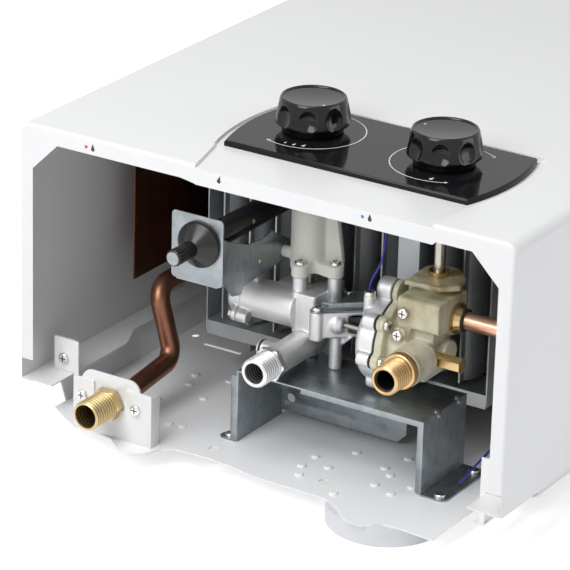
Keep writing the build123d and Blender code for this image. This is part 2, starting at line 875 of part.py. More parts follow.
# ---- support table
def make_table():
    x0 = table_x0
    x1 = table_x1
    inner_x0 = x0 + table_sheet
    inner_x1 = x1 - table_sheet
    front = table_y0 + table_sheet
    foot_top = plate_top + table_sheet
    top = block(x0, x1, table_y0, table_y1, table_under, table_top)
    left = block(x0, inner_x0, table_y0, table_y1, plate_top, table_under)
    right = block(inner_x1, x1, table_y0, table_y1, plate_top, table_under)
    slim_y1 = table_y0 + 2 * table_foot_r + sheet
    slim_foot = block(x0 - table_foot_slim, x0, table_y0 - sheet, slim_y1, plate_top, foot_top)
    slim_foot = fillet(slim_foot.edges().filter_by(Axis.Z).group_by(Axis.X)[0], table_foot_r)
    wide_foot = block(x1, x1 + table_foot_wide, table_y0 - sheet, table_y1, plate_top, foot_top)
    wide_foot = fillet(wide_foot.edges().filter_by(Axis.Z).group_by(Axis.X)[-1], table_foot_r)
    lip = block(table_lip_x0, x1, table_y0, front, table_under - table_lip, table_under)
    left_return = block(x0 - table_return, inner_x0, table_y0, front, foot_top, table_under - table_lip)
    right_return = block(x1 - table_return, x1, table_y0, front, foot_top, table_under)
    apron = [
        (x0, table_under),
        (x0, apron_z0),
        (apron_x1 - apron_corner, apron_z0),
        (apron_x1, apron_z0 + apron_corner),
        (apron_x1, table_under),
    ]
    apron = plate_xz(apron, table_y1 - table_sheet, table_y1)
    hole_x = x0 + 2 * table_return
    hole_z = apron_z0 + 3 * wall_hole_r
    apron = apron - rod_y(wall_hole_r, table_y0, table_y1 + sheet, hole_x, hole_z)
    table = top + left + right + slim_foot + wide_foot + lip + left_return + right_return + apron
    for spot in table_screw_spots:
        table = table - screw_hole(spot, (0, 0, 1), 6)
    return table


save(make_table(), "support_table")
table_grip = table_sheet + plate_sheet
plate_screws += [screw(spot, (0, 0, 1), table_grip) for spot in table_screw_spots]
save(group(plate_screws), "plate_screws")

# ---- gas valve
column_screw_spots = [(-16.2, 83.4), (4.3, 96.5), (-31.0, 110.0)]
valve_screw_spots = [(valve_screw_x, valve_screw_y), (7.5, 111.0), (37.5, 110.0)]
lug_angles = [90, 215, 325]
valve_field = [
    (3.5, 81.0), (10.0, 80.0), (29.5, 97.5), (39.0, 101.5),
    (28.0, 113.0), (14.0, 113.0), (12.0, 104.0), (12.0, 90.0),
]


def lug_spot(angle):
    turn = math.radians(angle)
    return barrel_y + lug_ring_r * math.cos(turn), barrel_z + lug_ring_r * math.sin(turn)


def arm_outline(margin):
    # the arm seen from above, with the slanted front that narrows it towards the water valve
    return [
        (gas_x1 + margin, arm_y0),
        (arm_slant_x0, arm_y0),
        (arm_slant_x1, arm_slant_y),
        (arm_x1, arm_end_y0),
        (arm_x1, gas_y1),
        (gas_x1 + margin, gas_y1),
    ]


def make_gas_valve():
    body = block(gas_x0, gas_x1, gas_y0, gas_y1, gas_z0, gas_z1)
    body = fillet(body.edges().filter_by(Axis.Z).group_by(Axis.Y)[0], 2.5)
    deck = block(deck_x0, gas_x1, deck_y0, gas_y1, gas_z0 + 8, gas_z1)
    body = body + fillet(deck.edges().filter_by(Axis.Z), 3)
    body = body + rod_x(barrel_r, barrel_x0, gas_x0 + 4, barrel_y, barrel_z)
    arm = plate_xy(arm_outline(-sheet), arm_z0, arm_z1)
    body = body + fillet(arm.edges().filter_by(Axis.Z).group_by(Axis.X)[-1], 3)
    body = body + rod_y(neck_r, neck_y0, gas_y0 + 18, inlet_x, inlet_z)
    side_boss_z = inlet_z + side_boss_rise
    body = body + rod_x(side_boss_r, inlet_x - side_boss_reach, inlet_x, side_boss_y, side_boss_z)
    body = body + rod_z(leg_r, table_top, arm_z0 + 1, leg_x, leg_y)
    body = body + rod_z(leg_r, table_top, gas_z0 + 1, leg_back_x, table_y1 - leg_r - 1)
    web = [(leg_x, arm_z0 - 12), (leg_x + 13, arm_z0 + 0.5), (leg_x, arm_z0 + 0.5)]
    body = body + plate_xz(web, leg_y, leg_y + 3)
    for x, y in column_screw_spots:
        low = arm_z1 if x > gas_x1 else gas_z1
        body = body + rod_z(post_r, low - 1, column_flange_z, x, y)
    for x, y in valve_screw_spots:
        body = body + rod_z(valve_lobe_r, arm_z0 - 2, arm_z1, x, y)
    for angle in lug_angles:
        y, z = lug_spot(angle)
        body = body + rod_x(lug_r, barrel_x0, barrel_x0 + 9, y, z)
        body = body + strap(barrel_x0, barrel_x0 + 5, y, z)
    for z in (arm_z0 + strut_r + 1, arm_z1 - strut_r - 1):
        body = body + rod_x(strut_r, arm_x1 - 2, cup_x0, strut_y, z)
    sleeve_x0 = chamber_x1 + 1
    sleeve = (rod_boss_x1 - 4, rod_boss_x1)
    body = body + rod_x(rod_boss_r, sleeve_x0, sleeve[0], rod_y_at, rod_z_at)
    nose = Cone(rod_boss_r, rod_boss_nose_r, sleeve[1] - sleeve[0])
    body = body + Pos((sleeve[0] + sleeve[1]) / 2, rod_y_at, rod_z_at) * Rot(0, 90, 0) * nose

    # the gas ways, the chamber of the poppet, and the pocket that holds the switch
    body = body - rod_y(port_bore_r - 1, neck_y0 - 1, gas_y0 + 10, inlet_x, inlet_z)
    body = body - rod_y(nipple_spigot_r + fit_gap, neck_y0 - 1, nipple_end + piece_gap, inlet_x, inlet_z)
    body = body - rod_x(chamber_r, chamber_x0, chamber_x1, rod_y_at, rod_z_at)
    body = body - rod_x(rod_r + fit_gap, chamber_x1 - 1, switch_x0 + 1, rod_y_at, rod_z_at)
    body = body - rod_z(spindle_r + fit_gap, gas_spindle_z0 - piece_gap, gas_z1 + 1, gas_knob_x, gas_knob_y)
    body = body - rod_x(barrel_r - 3, barrel_x0 - 1, gas_x0 - 4, barrel_y, barrel_z)
    pocket_low = rod_z_at - switch_low - piece_gap
    pocket_high = rod_z_at + switch_high + piece_gap
    body = body - block(switch_x0 - piece_gap, arm_x1, rod_y_at, switch_y1, pocket_low, pocket_high)
    for x, y in column_screw_spots:
        body = body - screw_hole((x, y, flange_top), (0, 0, 1), column_screw_length + piece_gap)
    for x, y in valve_screw_spots:
        body = body - screw_hole((x, y, arm_z1 + valve_plate), (0, 0, 1), 8 + piece_gap)
    for angle in lug_angles:
        y, z = lug_spot(angle)
        body = body - screw_hole((barrel_x0, y, z), (-1, 0, 0), 7 + piece_gap)
    body = body - rod_z(feed_r + fit_gap, gas_z0 + 7, gas_z0 + 20, inlet_x, feed_y)
    body = body - rod_z(feed_r + fit_gap, gas_z0 - 8, gas_z0 + 8, inlet_x, feed_y)
    return body


def strap(x0, x1, y, z):
    # a web from the barrel's wall out to a lug
    reach = math.hypot(y - barrel_y, z - barrel_z)
    turn = math.degrees(math.atan2(z - barrel_z, y - barrel_y))
    web = Box(x1 - x0, reach - barrel_r + 3, 2 * lug_r, align=(Align.MIN, Align.MIN, Align.CENTER))
    return Pos(x0, barrel_y, barrel_z) * Rot(turn, 0, 0) * Pos(0, barrel_r - 3, 0) * web


def make_solenoid():
    # the coil's end cap with its three lugs, and the coil inside the barrel
    x0 = barrel_x0 - solenoid_length
    cap = rod_x(barrel_r - 1, x0, barrel_x0, barrel_y, barrel_z)
    cap = fillet(cap.edges().group_by(Axis.X)[0], 4)
    cap = cap + rod_x(barrel_r - 3 - piece_gap, barrel_x0 - 1, barrel_x0 + 26, barrel_y, barrel_z)
    for angle in lug_angles:
        y, z = lug_spot(angle)
        cap = cap + rod_x(lug_r, barrel_x0 - 4, barrel_x0, y, z)
        cap = cap + strap(barrel_x0 - 4, barrel_x0, y, z)
        cap = cap - screw_hole((barrel_x0 - 4, y, z), (-1, 0, 0), 10)
    return cap


def make_nipple():
    hex_y0 = gas_face_y + port_thread
    fitting = rod_y(port_r, gas_face_y, hex_y0, inlet_x, inlet_z)
    fitting = chamfer(fitting.edges().group_by(Axis.Y)[0], 1.0)
    fitting = fitting + hex_y(hex_r, hex_y0, hex_y0 + hex_length, inlet_x, inlet_z)
    fitting = fitting + rod_y(nipple_spigot_r, hex_y0, nipple_end, inlet_x, inlet_z)
    return fitting - rod_y(port_bore_r - 1, gas_face_y - 1, nipple_end + 1, inlet_x, inlet_z)


def make_valve_plate():
    # a flat plate on the arm with a raised field, cut back round the post of the column
    z0 = arm_z1
    z1 = arm_z1 + valve_plate
    cover = plate_xy(arm_outline(piece_gap), z0, z1)
    cover = fillet(cover.edges().filter_by(Axis.Z).group_by(Axis.X)[-1], 3)
    for x, y in valve_screw_spots:
        cover = cover + rod_z(valve_lobe_r, z0, z1, x, y)
    field = plate_xy(valve_field, z1 - valve_plate / 2, z1 + valve_plate_bulge)
    field = fillet(field.edges().group_by(Axis.Z)[-1], 1.4)
    cover = cover + field
    post_x, post_y = column_screw_spots[1]
    cover = cover - rod_z(post_r + piece_gap, z0 - 1, z1 + 2 * valve_plate_bulge, post_x, post_y)
    for x, y in valve_screw_spots:
        cover = cover - screw_hole((x, y, z1), (0, 0, 1), 5)
    return cover


def link(start, end, half, z0, z1):
    # a straight web between two spots, seen from above
    reach = math.dist(start, end)
    side_x = (start[1] - end[1]) * half / reach
    side_y = (end[0] - start[0]) * half / reach
    points = [
        (start[0] + side_x, start[1] + side_y),
        (end[0] + side_x, end[1] + side_y),
        (end[0] - side_x, end[1] - side_y),
        (start[0] - side_x, start[1] - side_y),
    ]
    return plate_xy(points, z0, z1)


def make_column():
    z0 = column_flange_z
    centre = (gas_knob_x, gas_knob_y)
    column = rod_z(column_r, z0, column_top, gas_knob_x, gas_knob_y)
    for x, y in column_screw_spots:
        column = column + rod_z(column_lobe_r, z0, flange_top, x, y)
        column = column + link(centre, (x, y), column_lobe_r, z0, flange_top)
    rib_x = gas_knob_x + column_r - 3
    rib = [
        (rib_x, flange_top - 1),
        (rib_x + 17, flange_top - 1),
        (rib_x + 10, flange_top + 45),
        (rib_x + 5, column_top),
        (rib_x, column_top),
    ]
    column = column + plate_xz(rib, gas_knob_y, gas_knob_y + column_rib)
    column = column + rod_x(column_lug_r, holder_x1, gas_knob_x, arm_screw_y, arm_screw_z)
    for x, y in column_screw_spots:
        column = column - rod_z(screw_head_r + piece_gap, flange_top, flange_top + 12, x, y)
        column = column - screw_hole((x, y, flange_top), (0, 0, 1), column_flange_h + sheet)
    column = column - rod_z(column_bore_r, z0 - 1, column_top - column_bush, gas_knob_x, gas_knob_y)
    column = column - rod_z(spindle_r + fit_gap, z0, column_top + 1, gas_knob_x, gas_knob_y)
    column = column - screw_hole(battery_screw_spot, (-1, 0, 0), 8 + piece_gap)
    return column


neck_y0 = gas_face_y + port_thread + hex_length + sheet
nipple_spigot_r = port_r - 2.2
nipple_end = neck_y0 + 8
feed_r = 5.0
feed_y = 108.0
feed_z = (manifold_bottom + manifold_top) / 2
flange_top = column_flange_z + column_flange_h
column_screw_length = 18.0
strut_y = arm_end_y0 + strut_r + 1
switch_y0 = rod_y_at + rod_r + piece_gap
switch_y1 = switch_y0 + switch_wide
battery_screw_spot = (holder_x1 - battery_sheet, arm_screw_y, arm_screw_z)
save(make_gas_valve(), "gas_valve")
save(make_solenoid(), "solenoid")
save(make_nipple(), "gas_inlet")
seal = rod_y(neck_r, neck_y0 - sheet, neck_y0, inlet_x, inlet_z)
seal = seal - rod_y(nipple_spigot_r + fit_gap, neck_y0 - 2, neck_y0 + 1, inlet_x, inlet_z)
save(seal, "gas_seal")
save(make_valve_plate(), "valve_plate")
save(make_column(), "spindle_column")
valve_screws = [screw((x, y, arm_z1 + valve_plate), (0, 0, 1), 8) for x, y in valve_screw_spots]
for lug_angle in lug_angles:
    lug_y, lug_z = lug_spot(lug_angle)
    valve_screws.append(screw((barrel_x0 - 4, lug_y, lug_z), (-1, 0, 0), 8))
valve_screws += [screw((x, y, flange_top), (0, 0, 1), column_screw_length) for x, y in column_screw_spots]
valve_screws.append(screw(battery_screw_spot, (-1, 0, 0), 8))
save(group(valve_screws), "gas_valve_screws")
feed_route = [
    (inlet_x, feed_y, gas_z0 + 12),
    (inlet_x, feed_y, feed_z),
    (inlet_x, manifold_y0, feed_z),
]
save(pipe(feed_route, [2 * feed_r], feed_r, feed_r - sheet), "gas_feed")

# ---- push rod, poppet and micro switch
rod = rod_x(rod_r, rod_x0, rod_x1, rod_y_at, rod_z_at)
rod = rod + rod_x(rod_disc_r, rod_x1, rod_x1 + rod_disc, rod_y_at, rod_z_at)
save(rod, "push_rod")
poppet_x1 = rod_x0 - piece_gap
poppet = rod_x(rod_r, poppet_x1 - poppet_length, poppet_x1, rod_y_at, rod_z_at)
poppet = poppet + rod_x(poppet_r, poppet_x1 - 1 - poppet_stem, poppet_x1 - 1, rod_y_at, rod_z_at)
save(poppet, "gas_poppet")
switch = block(switch_x0, switch_x1, switch_y0, switch_y1, rod_z_at - switch_low, rod_z_at + switch_high)
save(switch, "micro_switch")


# ---- water valve
cup_lugs = [math.radians(angle) for angle in (0, 38, 140, 190, 240, 300)]
water_screw_spots = [
    (rod_y_at + cup_r * math.cos(turn), rod_z_at + cup_r * math.sin(turn)) for turn in cup_lugs
]
cup_seat_x = cup_x0 + cup_round
ear_spot = (cup_ear_x, cup_ear_y, cup_ear_z)
cap_plate_edge = [
    (71.0, 76.0), (70.0, 108.0), (76.0, 115.0), (92.0, 116.0),
    (103.5, 104.0), (108.0, 88.0), (98.0, 78.0),
]
flange_x0 = cup_x1 + diaphragm
flange_x1 = flange_x0 + 6


def flange_disc(radius, x0, x1):
    disc = rod_x(radius, x0, x1, rod_y_at, rod_z_at)
    for y, z in water_screw_spots:
        disc = disc + rod_x(cup_lug_r, x0, x1, y, z)
    for y, z in water_screw_spots:
        disc = disc - screw_hole((x0, y, z), (-1, 0, 0), 20)
    return disc


def make_cup():
    cup = rod_x(cup_r, cup_x0, cup_x1, rod_y_at, rod_z_at)
    cup = fillet(cup.edges().group_by(Axis.X)[0], cup_round)
    crown = rod_x(cup_crown_r, cup_x0 + 3, cup_x1, rod_y_at, cup_crown_z)
    cup = cup + fillet(crown.edges().group_by(Axis.X)[0], 3)
    cup = cup + rod_z(cup_ear_r, cup_ear_z - 17, cup_ear_z, cup_ear_x, cup_ear_y)
    for y, z in water_screw_spots:
        cup = cup + rod_x(cup_lug_r, cup_seat_x, cup_x1, y, z)
    for y, z in water_screw_spots:
        cup = cup - screw_hole((cup_x1, y, z), (1, 0, 0), cup_x1 - cup_seat_x - sheet)
    cup = cup - rod_x(cup_inner_r, cup_x0 + cup_wall, cup_x1 + 1, rod_y_at, rod_z_at)
    cup = cup - rod_x(rod_r + fit_gap, cup_x0 - 1, cup_x1, rod_y_at, rod_z_at)
    return cup - screw_hole(ear_spot, (0, 0, 1), 8 + piece_gap)


def make_water_body():
    body = flange_disc(cup_r, flange_x0, flange_x1)
    body = body + rod_x(cup_crown_r, flange_x0, flange_x1 - 2, rod_y_at, cup_crown_z)
    body = body + rod_x(cup_inner_r - 1, flange_x0, flange_x1 + 14, rod_y_at, rod_z_at)
    lower = block(head_x0, body_x1, body_y0, body_y1, body_z0, body_z1)
    lower = fillet(lower.edges().filter_by(Axis.X), 6)
    waist = block(head_x0, waist_x1, waist_y0, body_y1, body_z1 - 3, head_z0 + 2)
    head = block(head_x0, head_x1, head_y0, head_y1, head_z0, head_z1)
    head = fillet(head.edges().filter_by(Axis.X), 3)
    body = body + lower + waist + head
    body = body + rod_z(spindle_boss_r + 3, head_z1 - 1, cap_plate_z0 + 1, water_knob_x, water_knob_y)
    body = body + plate_xy(cap_plate_edge, cap_plate_z0, spindle_boss_top)
    body = body + rod_y(valve_lobe_r, body_y0, waist_y0 + 5, small_screw_spot[0], small_screw_spot[2])
    body = body + rod_y(boss_r, cold_boss_y, body_y0 + 2, cold_x, cold_z)
    body = body + rod_x(nut_r + 1, body_x1 - 8, head_x1, outlet_y, outlet_z)
    body = body + rod_x(9, body_x1 - 4, body_x1 + 7, 86.5, drain_z - 2)

    # the water ways, and the seats of the fittings, the plug, the spindle and the screws
    way_x = cold_x - 5.5
    body = body - rod_y(port_bore_r - 2, cold_boss_y - 1, body_y0 + 16, way_x, cold_z)
    body = body - rod_y(cold_spigot_r + fit_gap, cold_boss_y - 1, cold_end + piece_gap, cold_x, cold_z)
    body = body - rod_x(drain_shank_r + fit_gap, body_x1 - 12, body_x1 + 1, drain_y, drain_z)
    body = body - rod_x(cold_pipe_r - 1, head_x1 - 14, head_x1 + 1, outlet_y, outlet_z)
    bore_z1 = spindle_boss_top + 1
    body = body - rod_z(spindle_r + fit_gap, water_spindle_low, bore_z1, water_knob_x, water_knob_y)
    for spot in body_screw_spots:
        body = body - screw_hole(spot, (0, -1, 0), 8 + piece_gap)
    return body


def make_cold_inlet():
    collar_y = cold_face_y + port_thread
    fitting = rod_y(port_r, cold_face_y, collar_y, cold_x, cold_z)
    fitting = chamfer(fitting.edges().group_by(Axis.Y)[0], 1.0)
    fitting = fitting + rod_y(boss_r - 0.6, collar_y, cold_boss_y, cold_x, cold_z)
    fitting = fitting + rod_y(cold_spigot_r, collar_y, cold_end, cold_x, cold_z)
    return fitting - rod_y(port_bore_r - 0.6, cold_face_y - 1, cold_end + 1, cold_x, cold_z)


cold_boss_y = cold_face_y + port_thread + cold_collar
cold_spigot_r = port_r - 1.6
cold_end = cold_boss_y + 10
small_screw_spot = (77.2, body_y0, 81.0)
body_screw_spots = [(78.0, head_y0, 95.5), small_screw_spot]
save(make_cup(), "diaphragm_cover")
rubber = flange_disc(cup_r - 0.5, cup_x1, flange_x0)
save(rubber, "diaphragm")
save(make_water_body(), "water_valve")
water_screw_length = flange_x1 - cup_seat_x - 2 * sheet
water_screws = [screw((flange_x1, y, z), (1, 0, 0), water_screw_length) for y, z in water_screw_spots]
water_screws += [screw(spot, (0, -1, 0), 8) for spot in body_screw_spots]
water_screws.append(screw(ear_spot, (0, 0, 1), 8))
save(group(water_screws), "water_valve_screws")
save(make_cold_inlet(), "cold_inlet")
filter_r = port_bore_r - 0.6 - fit_gap
sieve = rod_y(filter_r, cold_face_y + 2, cold_end - 2, cold_x, cold_z)
sieve = sieve - rod_y(filter_r - 0.8, cold_face_y + 1, cold_end - 4, cold_x, cold_z)
save(sieve, "inlet_filter")
collar = rod_z(collar_r, spindle_boss_top, spindle_boss_top + collar_h, water_knob_x, water_knob_y)
collar = collar - rod_z(spindle_r + fit_gap, 0, cover_depth, water_knob_x, water_knob_y)
save(collar, "spindle_collar")

nut_x0 = head_x1
nut_x1 = nut_x0 + nut_length
nut = rod_x(nut_r, nut_x0, nut_x1, outlet_y, outlet_z)
nose = Cone(nut_r - sheet, nut_nose_r, nut_nose)
nut = nut + Pos(nut_x1 + nut_nose / 2, outlet_y, outlet_z) * Rot(0, 90, 0) * nose
nut = nut - rod_x(cold_pipe_r + fit_gap, nut_x0 - 1, nut_x1 + nut_nose + 1, outlet_y, outlet_z)
save(nut, "outlet_nut")
ring_r = 0.9
ring = Torus(cold_pipe_r + ring_r + fit_gap, ring_r)
save(Pos(nut_x1 + nut_nose + ring_r + fit_gap, outlet_y, outlet_z) * Rot(0, 90, 0) * ring, "outlet_seal")
cold_route = [
    (nut_x0 + piece_gap, outlet_y, outlet_z),
    (cold_side_x, outlet_y, outlet_z),
    (cold_side_x, cold_rise_y0, outlet_z),
    (cold_side_x, cold_rise_y1, row_top),
    (cold_side_x, row_y, row_top),
    (joint_x, row_y, row_top),
]
cold_pipe = pipe(cold_route, cold_bends, cold_pipe_r, cold_pipe_r - pipe_wall)
save(cold_pipe, "cold_pipe")

plug_x0 = body_x1 + 2
plug = hex_x(drain_hex_r, plug_x0, plug_x0 + drain_length, drain_y, drain_z)
plug = plug + rod_x(drain_shank_r, body_x1 - 11, plug_x0 + 1, drain_y, drain_z)
save(plug, "drain_plug")
plug_ring = Torus(drain_shank_r + fit_gap + 0.8, 0.8)
save(Pos(body_x1 + 1.1, drain_y, drain_z) * Rot(0, 90, 0) * plug_ring, "drain_seal")


# ---- battery holder
tube_y0 = battery_plate_y + battery_sheet
cell_y0 = tube_y0 + 2.4
tube_inner_r = cell_r + 0.4
cells_end = cell_y0 + 2 * (cell_length + cell_nub)
tube_y1 = cells_end + 0.9


def make_battery_tube():
    tube = rod_y(tube_r, tube_y0, tube_y1, battery_x, battery_z)
    return tube - rod_y(tube_inner_r, tube_y0 - 1, cells_end, battery_x, battery_z)


def make_battery_cap():
    rim_y0 = battery_plate_y - piece_gap - cap_rim
    cone_y0 = rim_y0 - cap_cone
    cap = rod_y(cap_r, rim_y0, battery_plate_y - piece_gap, battery_x, battery_z)
    cone = Rot(90, 0, 0) * Cone(cap_r, grip_r + 1, cap_cone)
    cap = cap + Pos(battery_x, (rim_y0 + cone_y0) / 2, battery_z) * cone
    cap = cap + rod_y(grip_r, cone_y0 - grip_length, cone_y0 + 1, battery_x, battery_z)
    cap = cap + rod_y(tube_inner_r - piece_gap, rim_y0, cell_y0 - 1.6, battery_x, battery_z)
    return cap


def make_battery_bracket():
    face = block(holder_x0, holder_x1, battery_plate_y, tube_y0, holder_z0, holder_z1)
    face = fillet(face.edges().filter_by(Axis.Y), 3)
    root_y = tube_y0 - battery_sheet / 2
    root_z1, root_z0 = arm_root
    arm = [(root_y, root_z1)] + arm_edge + [(root_y, root_z0)]
    arm = plate_yz(arm, holder_x1 - battery_sheet, holder_x1)
    lip_x0 = holder_x0 + 4
    lip_x1 = holder_x1 - 4
    lip = block(lip_x0, lip_x1, battery_plate_y, tube_y0 + 4, holder_z0 - battery_sheet, holder_z0)
    root = block(lip_x0, lip_x1, battery_plate_y, tube_y0, holder_z0 - battery_sheet, holder_z0 + 1)
    bracket = face + arm + lip + root
    bracket = bracket - rod_y(tube_inner_r, battery_plate_y - 1, tube_y0 + 1, battery_x, battery_z)
    return bracket - screw_hole(battery_screw_spot, (-1, 0, 0), 4)


save(make_battery_tube(), "battery_tube")
save(make_battery_cap(), "battery_cap")
contact = rod_y(cell_r - 3, cell_y0 - 1.3, cell_y0 - piece_gap, battery_x, battery_z)
save(contact, "battery_contact")
cells = []
for index in range(2):
    start = cell_y0 + index * (cell_length + cell_nub)
    cell = rod_y(cell_r, start, start + cell_length, battery_x, battery_z)
    cells.append(cell + rod_y(3, start + cell_length, start + cell_length + cell_nub, battery_x, battery_z))
save(group(cells), "battery_cells")
save(make_battery_bracket(), "battery_bracket")


# ---- burner
def make_bar(x):
    lip = bar_lip_w / 2
    body_y0 = bar_y0 + bar_lip
    body_y1 = body_y0 + bar_body
    middle = (body_y0 + body_y1) / 2
    right = [
        Line((lip, bar_y0), (lip, body_y0)),
        ThreePointArc((lip, body_y0), (bar_half, middle), (lip, body_y1)),
        Line((lip, body_y1), (bar_top_half, body_y1 + 8)),
        Line((bar_top_half, body_y1 + 8), (bar_top_half, bar_top_y)),
    ]
    left = [
        Line((-lip, bar_y0), (-lip, body_y0)),
        ThreePointArc((-lip, body_y0), (-bar_half, middle), (-lip, body_y1)),
        Line((-lip, body_y1), (-bar_top_half, body_y1 + 8)),
        Line((-bar_top_half, body_y1 + 8), (-bar_top_half, bar_top_y)),
    ]
    low_end = Line((lip, bar_y0), (-lip, bar_y0))
    high_end = Line((bar_top_half, bar_top_y), (-bar_top_half, bar_top_y))
    outline = make_face(right + left + [low_end, high_end])
    z0 = manifold_top + jet_h + piece_gap
    bar = Pos(x, 0, z0) * extrude(outline, bar_z1 - z0, dir=(0, 0, 1))
    return bar - rod_z(jet_r + 1.5, z0 - 1, z0 + bar_mouth, x, middle)


bar_spots = [bar_x0 + bar_pitch * index for index in range(bar_count)]
jet_y = bar_y0 + bar_lip + bar_body / 2
save(group([make_bar(x) for x in bar_spots]), "burner_bars")


def make_manifold():
    wall = 2 * sheet
    x1 = frame_x - sheet
    inner_x1 = x1 - wall
    box = block(-x1, x1, manifold_y0, manifold_y1, manifold_bottom, manifold_top)
    inner_z0 = manifold_bottom + wall
    inner_z1 = manifold_top - wall
    box = box - block(-inner_x1, inner_x1, manifold_y0 + wall, manifold_y1 - wall, inner_z0, inner_z1)
    for x in bar_spots:
        box = box - rod_z(jet_r - 0.5 + fit_gap, manifold_top - 3, manifold_top + 1, x, jet_y)
    return box - rod_y(feed_r - sheet, manifold_y0 - 1, manifold_y0 + wall + 1, inlet_x, feed_z)


def make_jet(x):
    jet = rod_z(jet_r, manifold_top, manifold_top + jet_h, x, jet_y)
    jet = jet + rod_z(jet_r - 0.5, manifold_top - 2, manifold_top + 1, x, jet_y)
    return jet - rod_z(0.5, manifold_top - 3, manifold_top + jet_h + 1, x, jet_y)


def make_burner_frame():
    y0 = manifold_y0
    top = bar_z1 + piece_gap
    roof = top + sheet
    leg_y0 = frame_y1 - frame_leg
    side = [
        (y0, frame_low),
        (y0, roof),
        (frame_y1, roof),
        (frame_y1, plate_top),
        (leg_y0, plate_top),
        (leg_y0, frame_low),
    ]
    rail_y0 = frame_y1 - rail_depth
    frame = plate_yz(side, -frame_x, sheet - frame_x)
    frame = frame + plate_yz(side, frame_x - sheet, frame_x)
    frame = frame + block(-frame_x, frame_x, rail_y0, frame_y1, top, roof)
    frame = frame + block(strap_x0, strap_x1, strap_y, strap_y + sheet, strap_z0, roof)
    frame = frame + block(strap_x0, strap_x1, strap_y, rail_y0 + sheet, top, roof)
    for x, y in electrode_spots:
        frame = frame - rod_z(electrode_r + fit_gap, top - 1, roof + 1, x, y)
    return frame


electrode_y = bar_top_y + electrode_r + 1.5
electrode_spots = [(electrode_x0, electrode_y), (electrode_x1, electrode_y)]
electrode_top = bar_z1 + piece_gap + sheet
electrodes = []
for x, y in electrode_spots:
    ceramic = rod_z(electrode_r, electrode_top - 16, electrode_top + 4, x, y)
    electrodes.append(ceramic + rod_z(1.0, electrode_top - 34, electrode_top - 15, x, y))
save(make_manifold(), "gas_manifold")
save(group([make_jet(x) for x in bar_spots]), "burner_jets")
save(make_burner_frame(), "burner_frame")
save(group(electrodes), "electrodes")


# ---- combustion chamber, exchanger and flue
row_levels = [row_top - row_pitch * index for index in range(row_count)]


def make_chamber():
    half = chamber_half
    inner = half - copper_sheet
    z_in0 = chamber_z0 + copper_sheet
    z_in1 = chamber_z1 - copper_sheet
    box = block(-half, half, chamber_y0, chamber_y1, chamber_z0, chamber_z1)
    box = box - block(-inner, inner, chamber_y0 - 1, chamber_y1 + 1, z_in0, z_in1)
    for z in row_levels:
        box = box - rod_x(cold_pipe_r + fit_gap, -half - 1, half + 1, row_y, z)
    return box


def make_fins():
    inner = chamber_half - copper_sheet - 4
    step = 2 * inner / (fin_count - 1)
    z0 = chamber_z0 + copper_sheet + piece_gap
    z1 = chamber_z1 - copper_sheet - piece_gap
    y0 = row_y - fin_depth / 2
    fin = block(-fin_sheet / 2, fin_sheet / 2, y0, y0 + fin_depth, z0, z1)
    for z in row_levels:
        fin = fin - rod_x(cold_pipe_r + fit_gap, -1, 1, row_y, z)
    return group([Pos(-inner + step * index, 0, 0) * fin for index in range(fin_count)])


def make_exchanger_tube():
    bend_x = chamber_half + row_pitch / 2 + 1
    route = [(chamber_half, row_y, row_levels[0])]
    side = -1
    for upper, lower in zip(row_levels, row_levels[1:]):
        route.append((side * bend_x, row_y, upper))
        route.append((side * bend_x, row_y, lower))
        side = -side
    route.append((side * chamber_half, row_y, row_levels[-1]))
    return pipe(route, row_pitch / 2 - fit_gap, cold_pipe_r, cold_pipe_r - pipe_wall)


def make_flue_hood():
    half = chamber_half
    low = Plane(origin=(0, chamber_y1, (chamber_z0 + chamber_z1) / 2), x_dir=(1, 0, 0), z_dir=(0, 1, 0))
    high_y = cover_length - sheet
    high = Plane(origin=(0, high_y, (flue_z0 + flue_z1) / 2), x_dir=(1, 0, 0), z_dir=(0, 1, 0))
    tall = chamber_z1 - chamber_z0
    short = flue_z1 - flue_z0
    outer = loft([low * Rectangle(2 * half, tall), high * Rectangle(2 * flue_half, short)])
    low_in = low * Rectangle(2 * (half - sheet), tall - 2 * sheet)
    high_in = high * Rectangle(2 * (flue_half - sheet), short - 2 * sheet)
    return outer - loft([low_in, high_in])


def make_heat_shield():
    x0 = shield_x
    x1 = shield_x + copper_sheet
    shield = block(x0, x1, shield_y0, shield_y1, shield_z0, chamber_z1)
    clip_z0 = hot_run_z + shield_clip
    clip = block(x0, -chamber_half, shield_y1 - copper_sheet, shield_y1, clip_z0, chamber_z1)
    return shield + clip


def make_brackets():
    legs = []
    for x in (leg_inset - chamber_half, chamber_half - leg_inset):
        x0 = x - leg_half
        x1 = x + leg_half
        for y in (chamber_y0 + 2 * leg_inset, chamber_y1 - 2 * leg_inset):
            y1 = y + leg_depth
            foot = block(x0, x1, y, y1, plate_top, plate_top + sheet)
            wall = block(x0, x0 + sheet, y, y1, plate_top, chamber_z0)
            head = block(x0, x1, y, y1, chamber_z0 - sheet, chamber_z0)
            legs.append(foot + wall + head)
    return group(legs)


save(make_chamber(), "combustion_chamber")
save(make_fins(), "exchanger_fins")
save(make_exchanger_tube(), "exchanger_tube")
save(make_flue_hood(), "flue_hood")
save(make_heat_shield(), "heat_shield")
save(make_brackets(), "chamber_brackets")

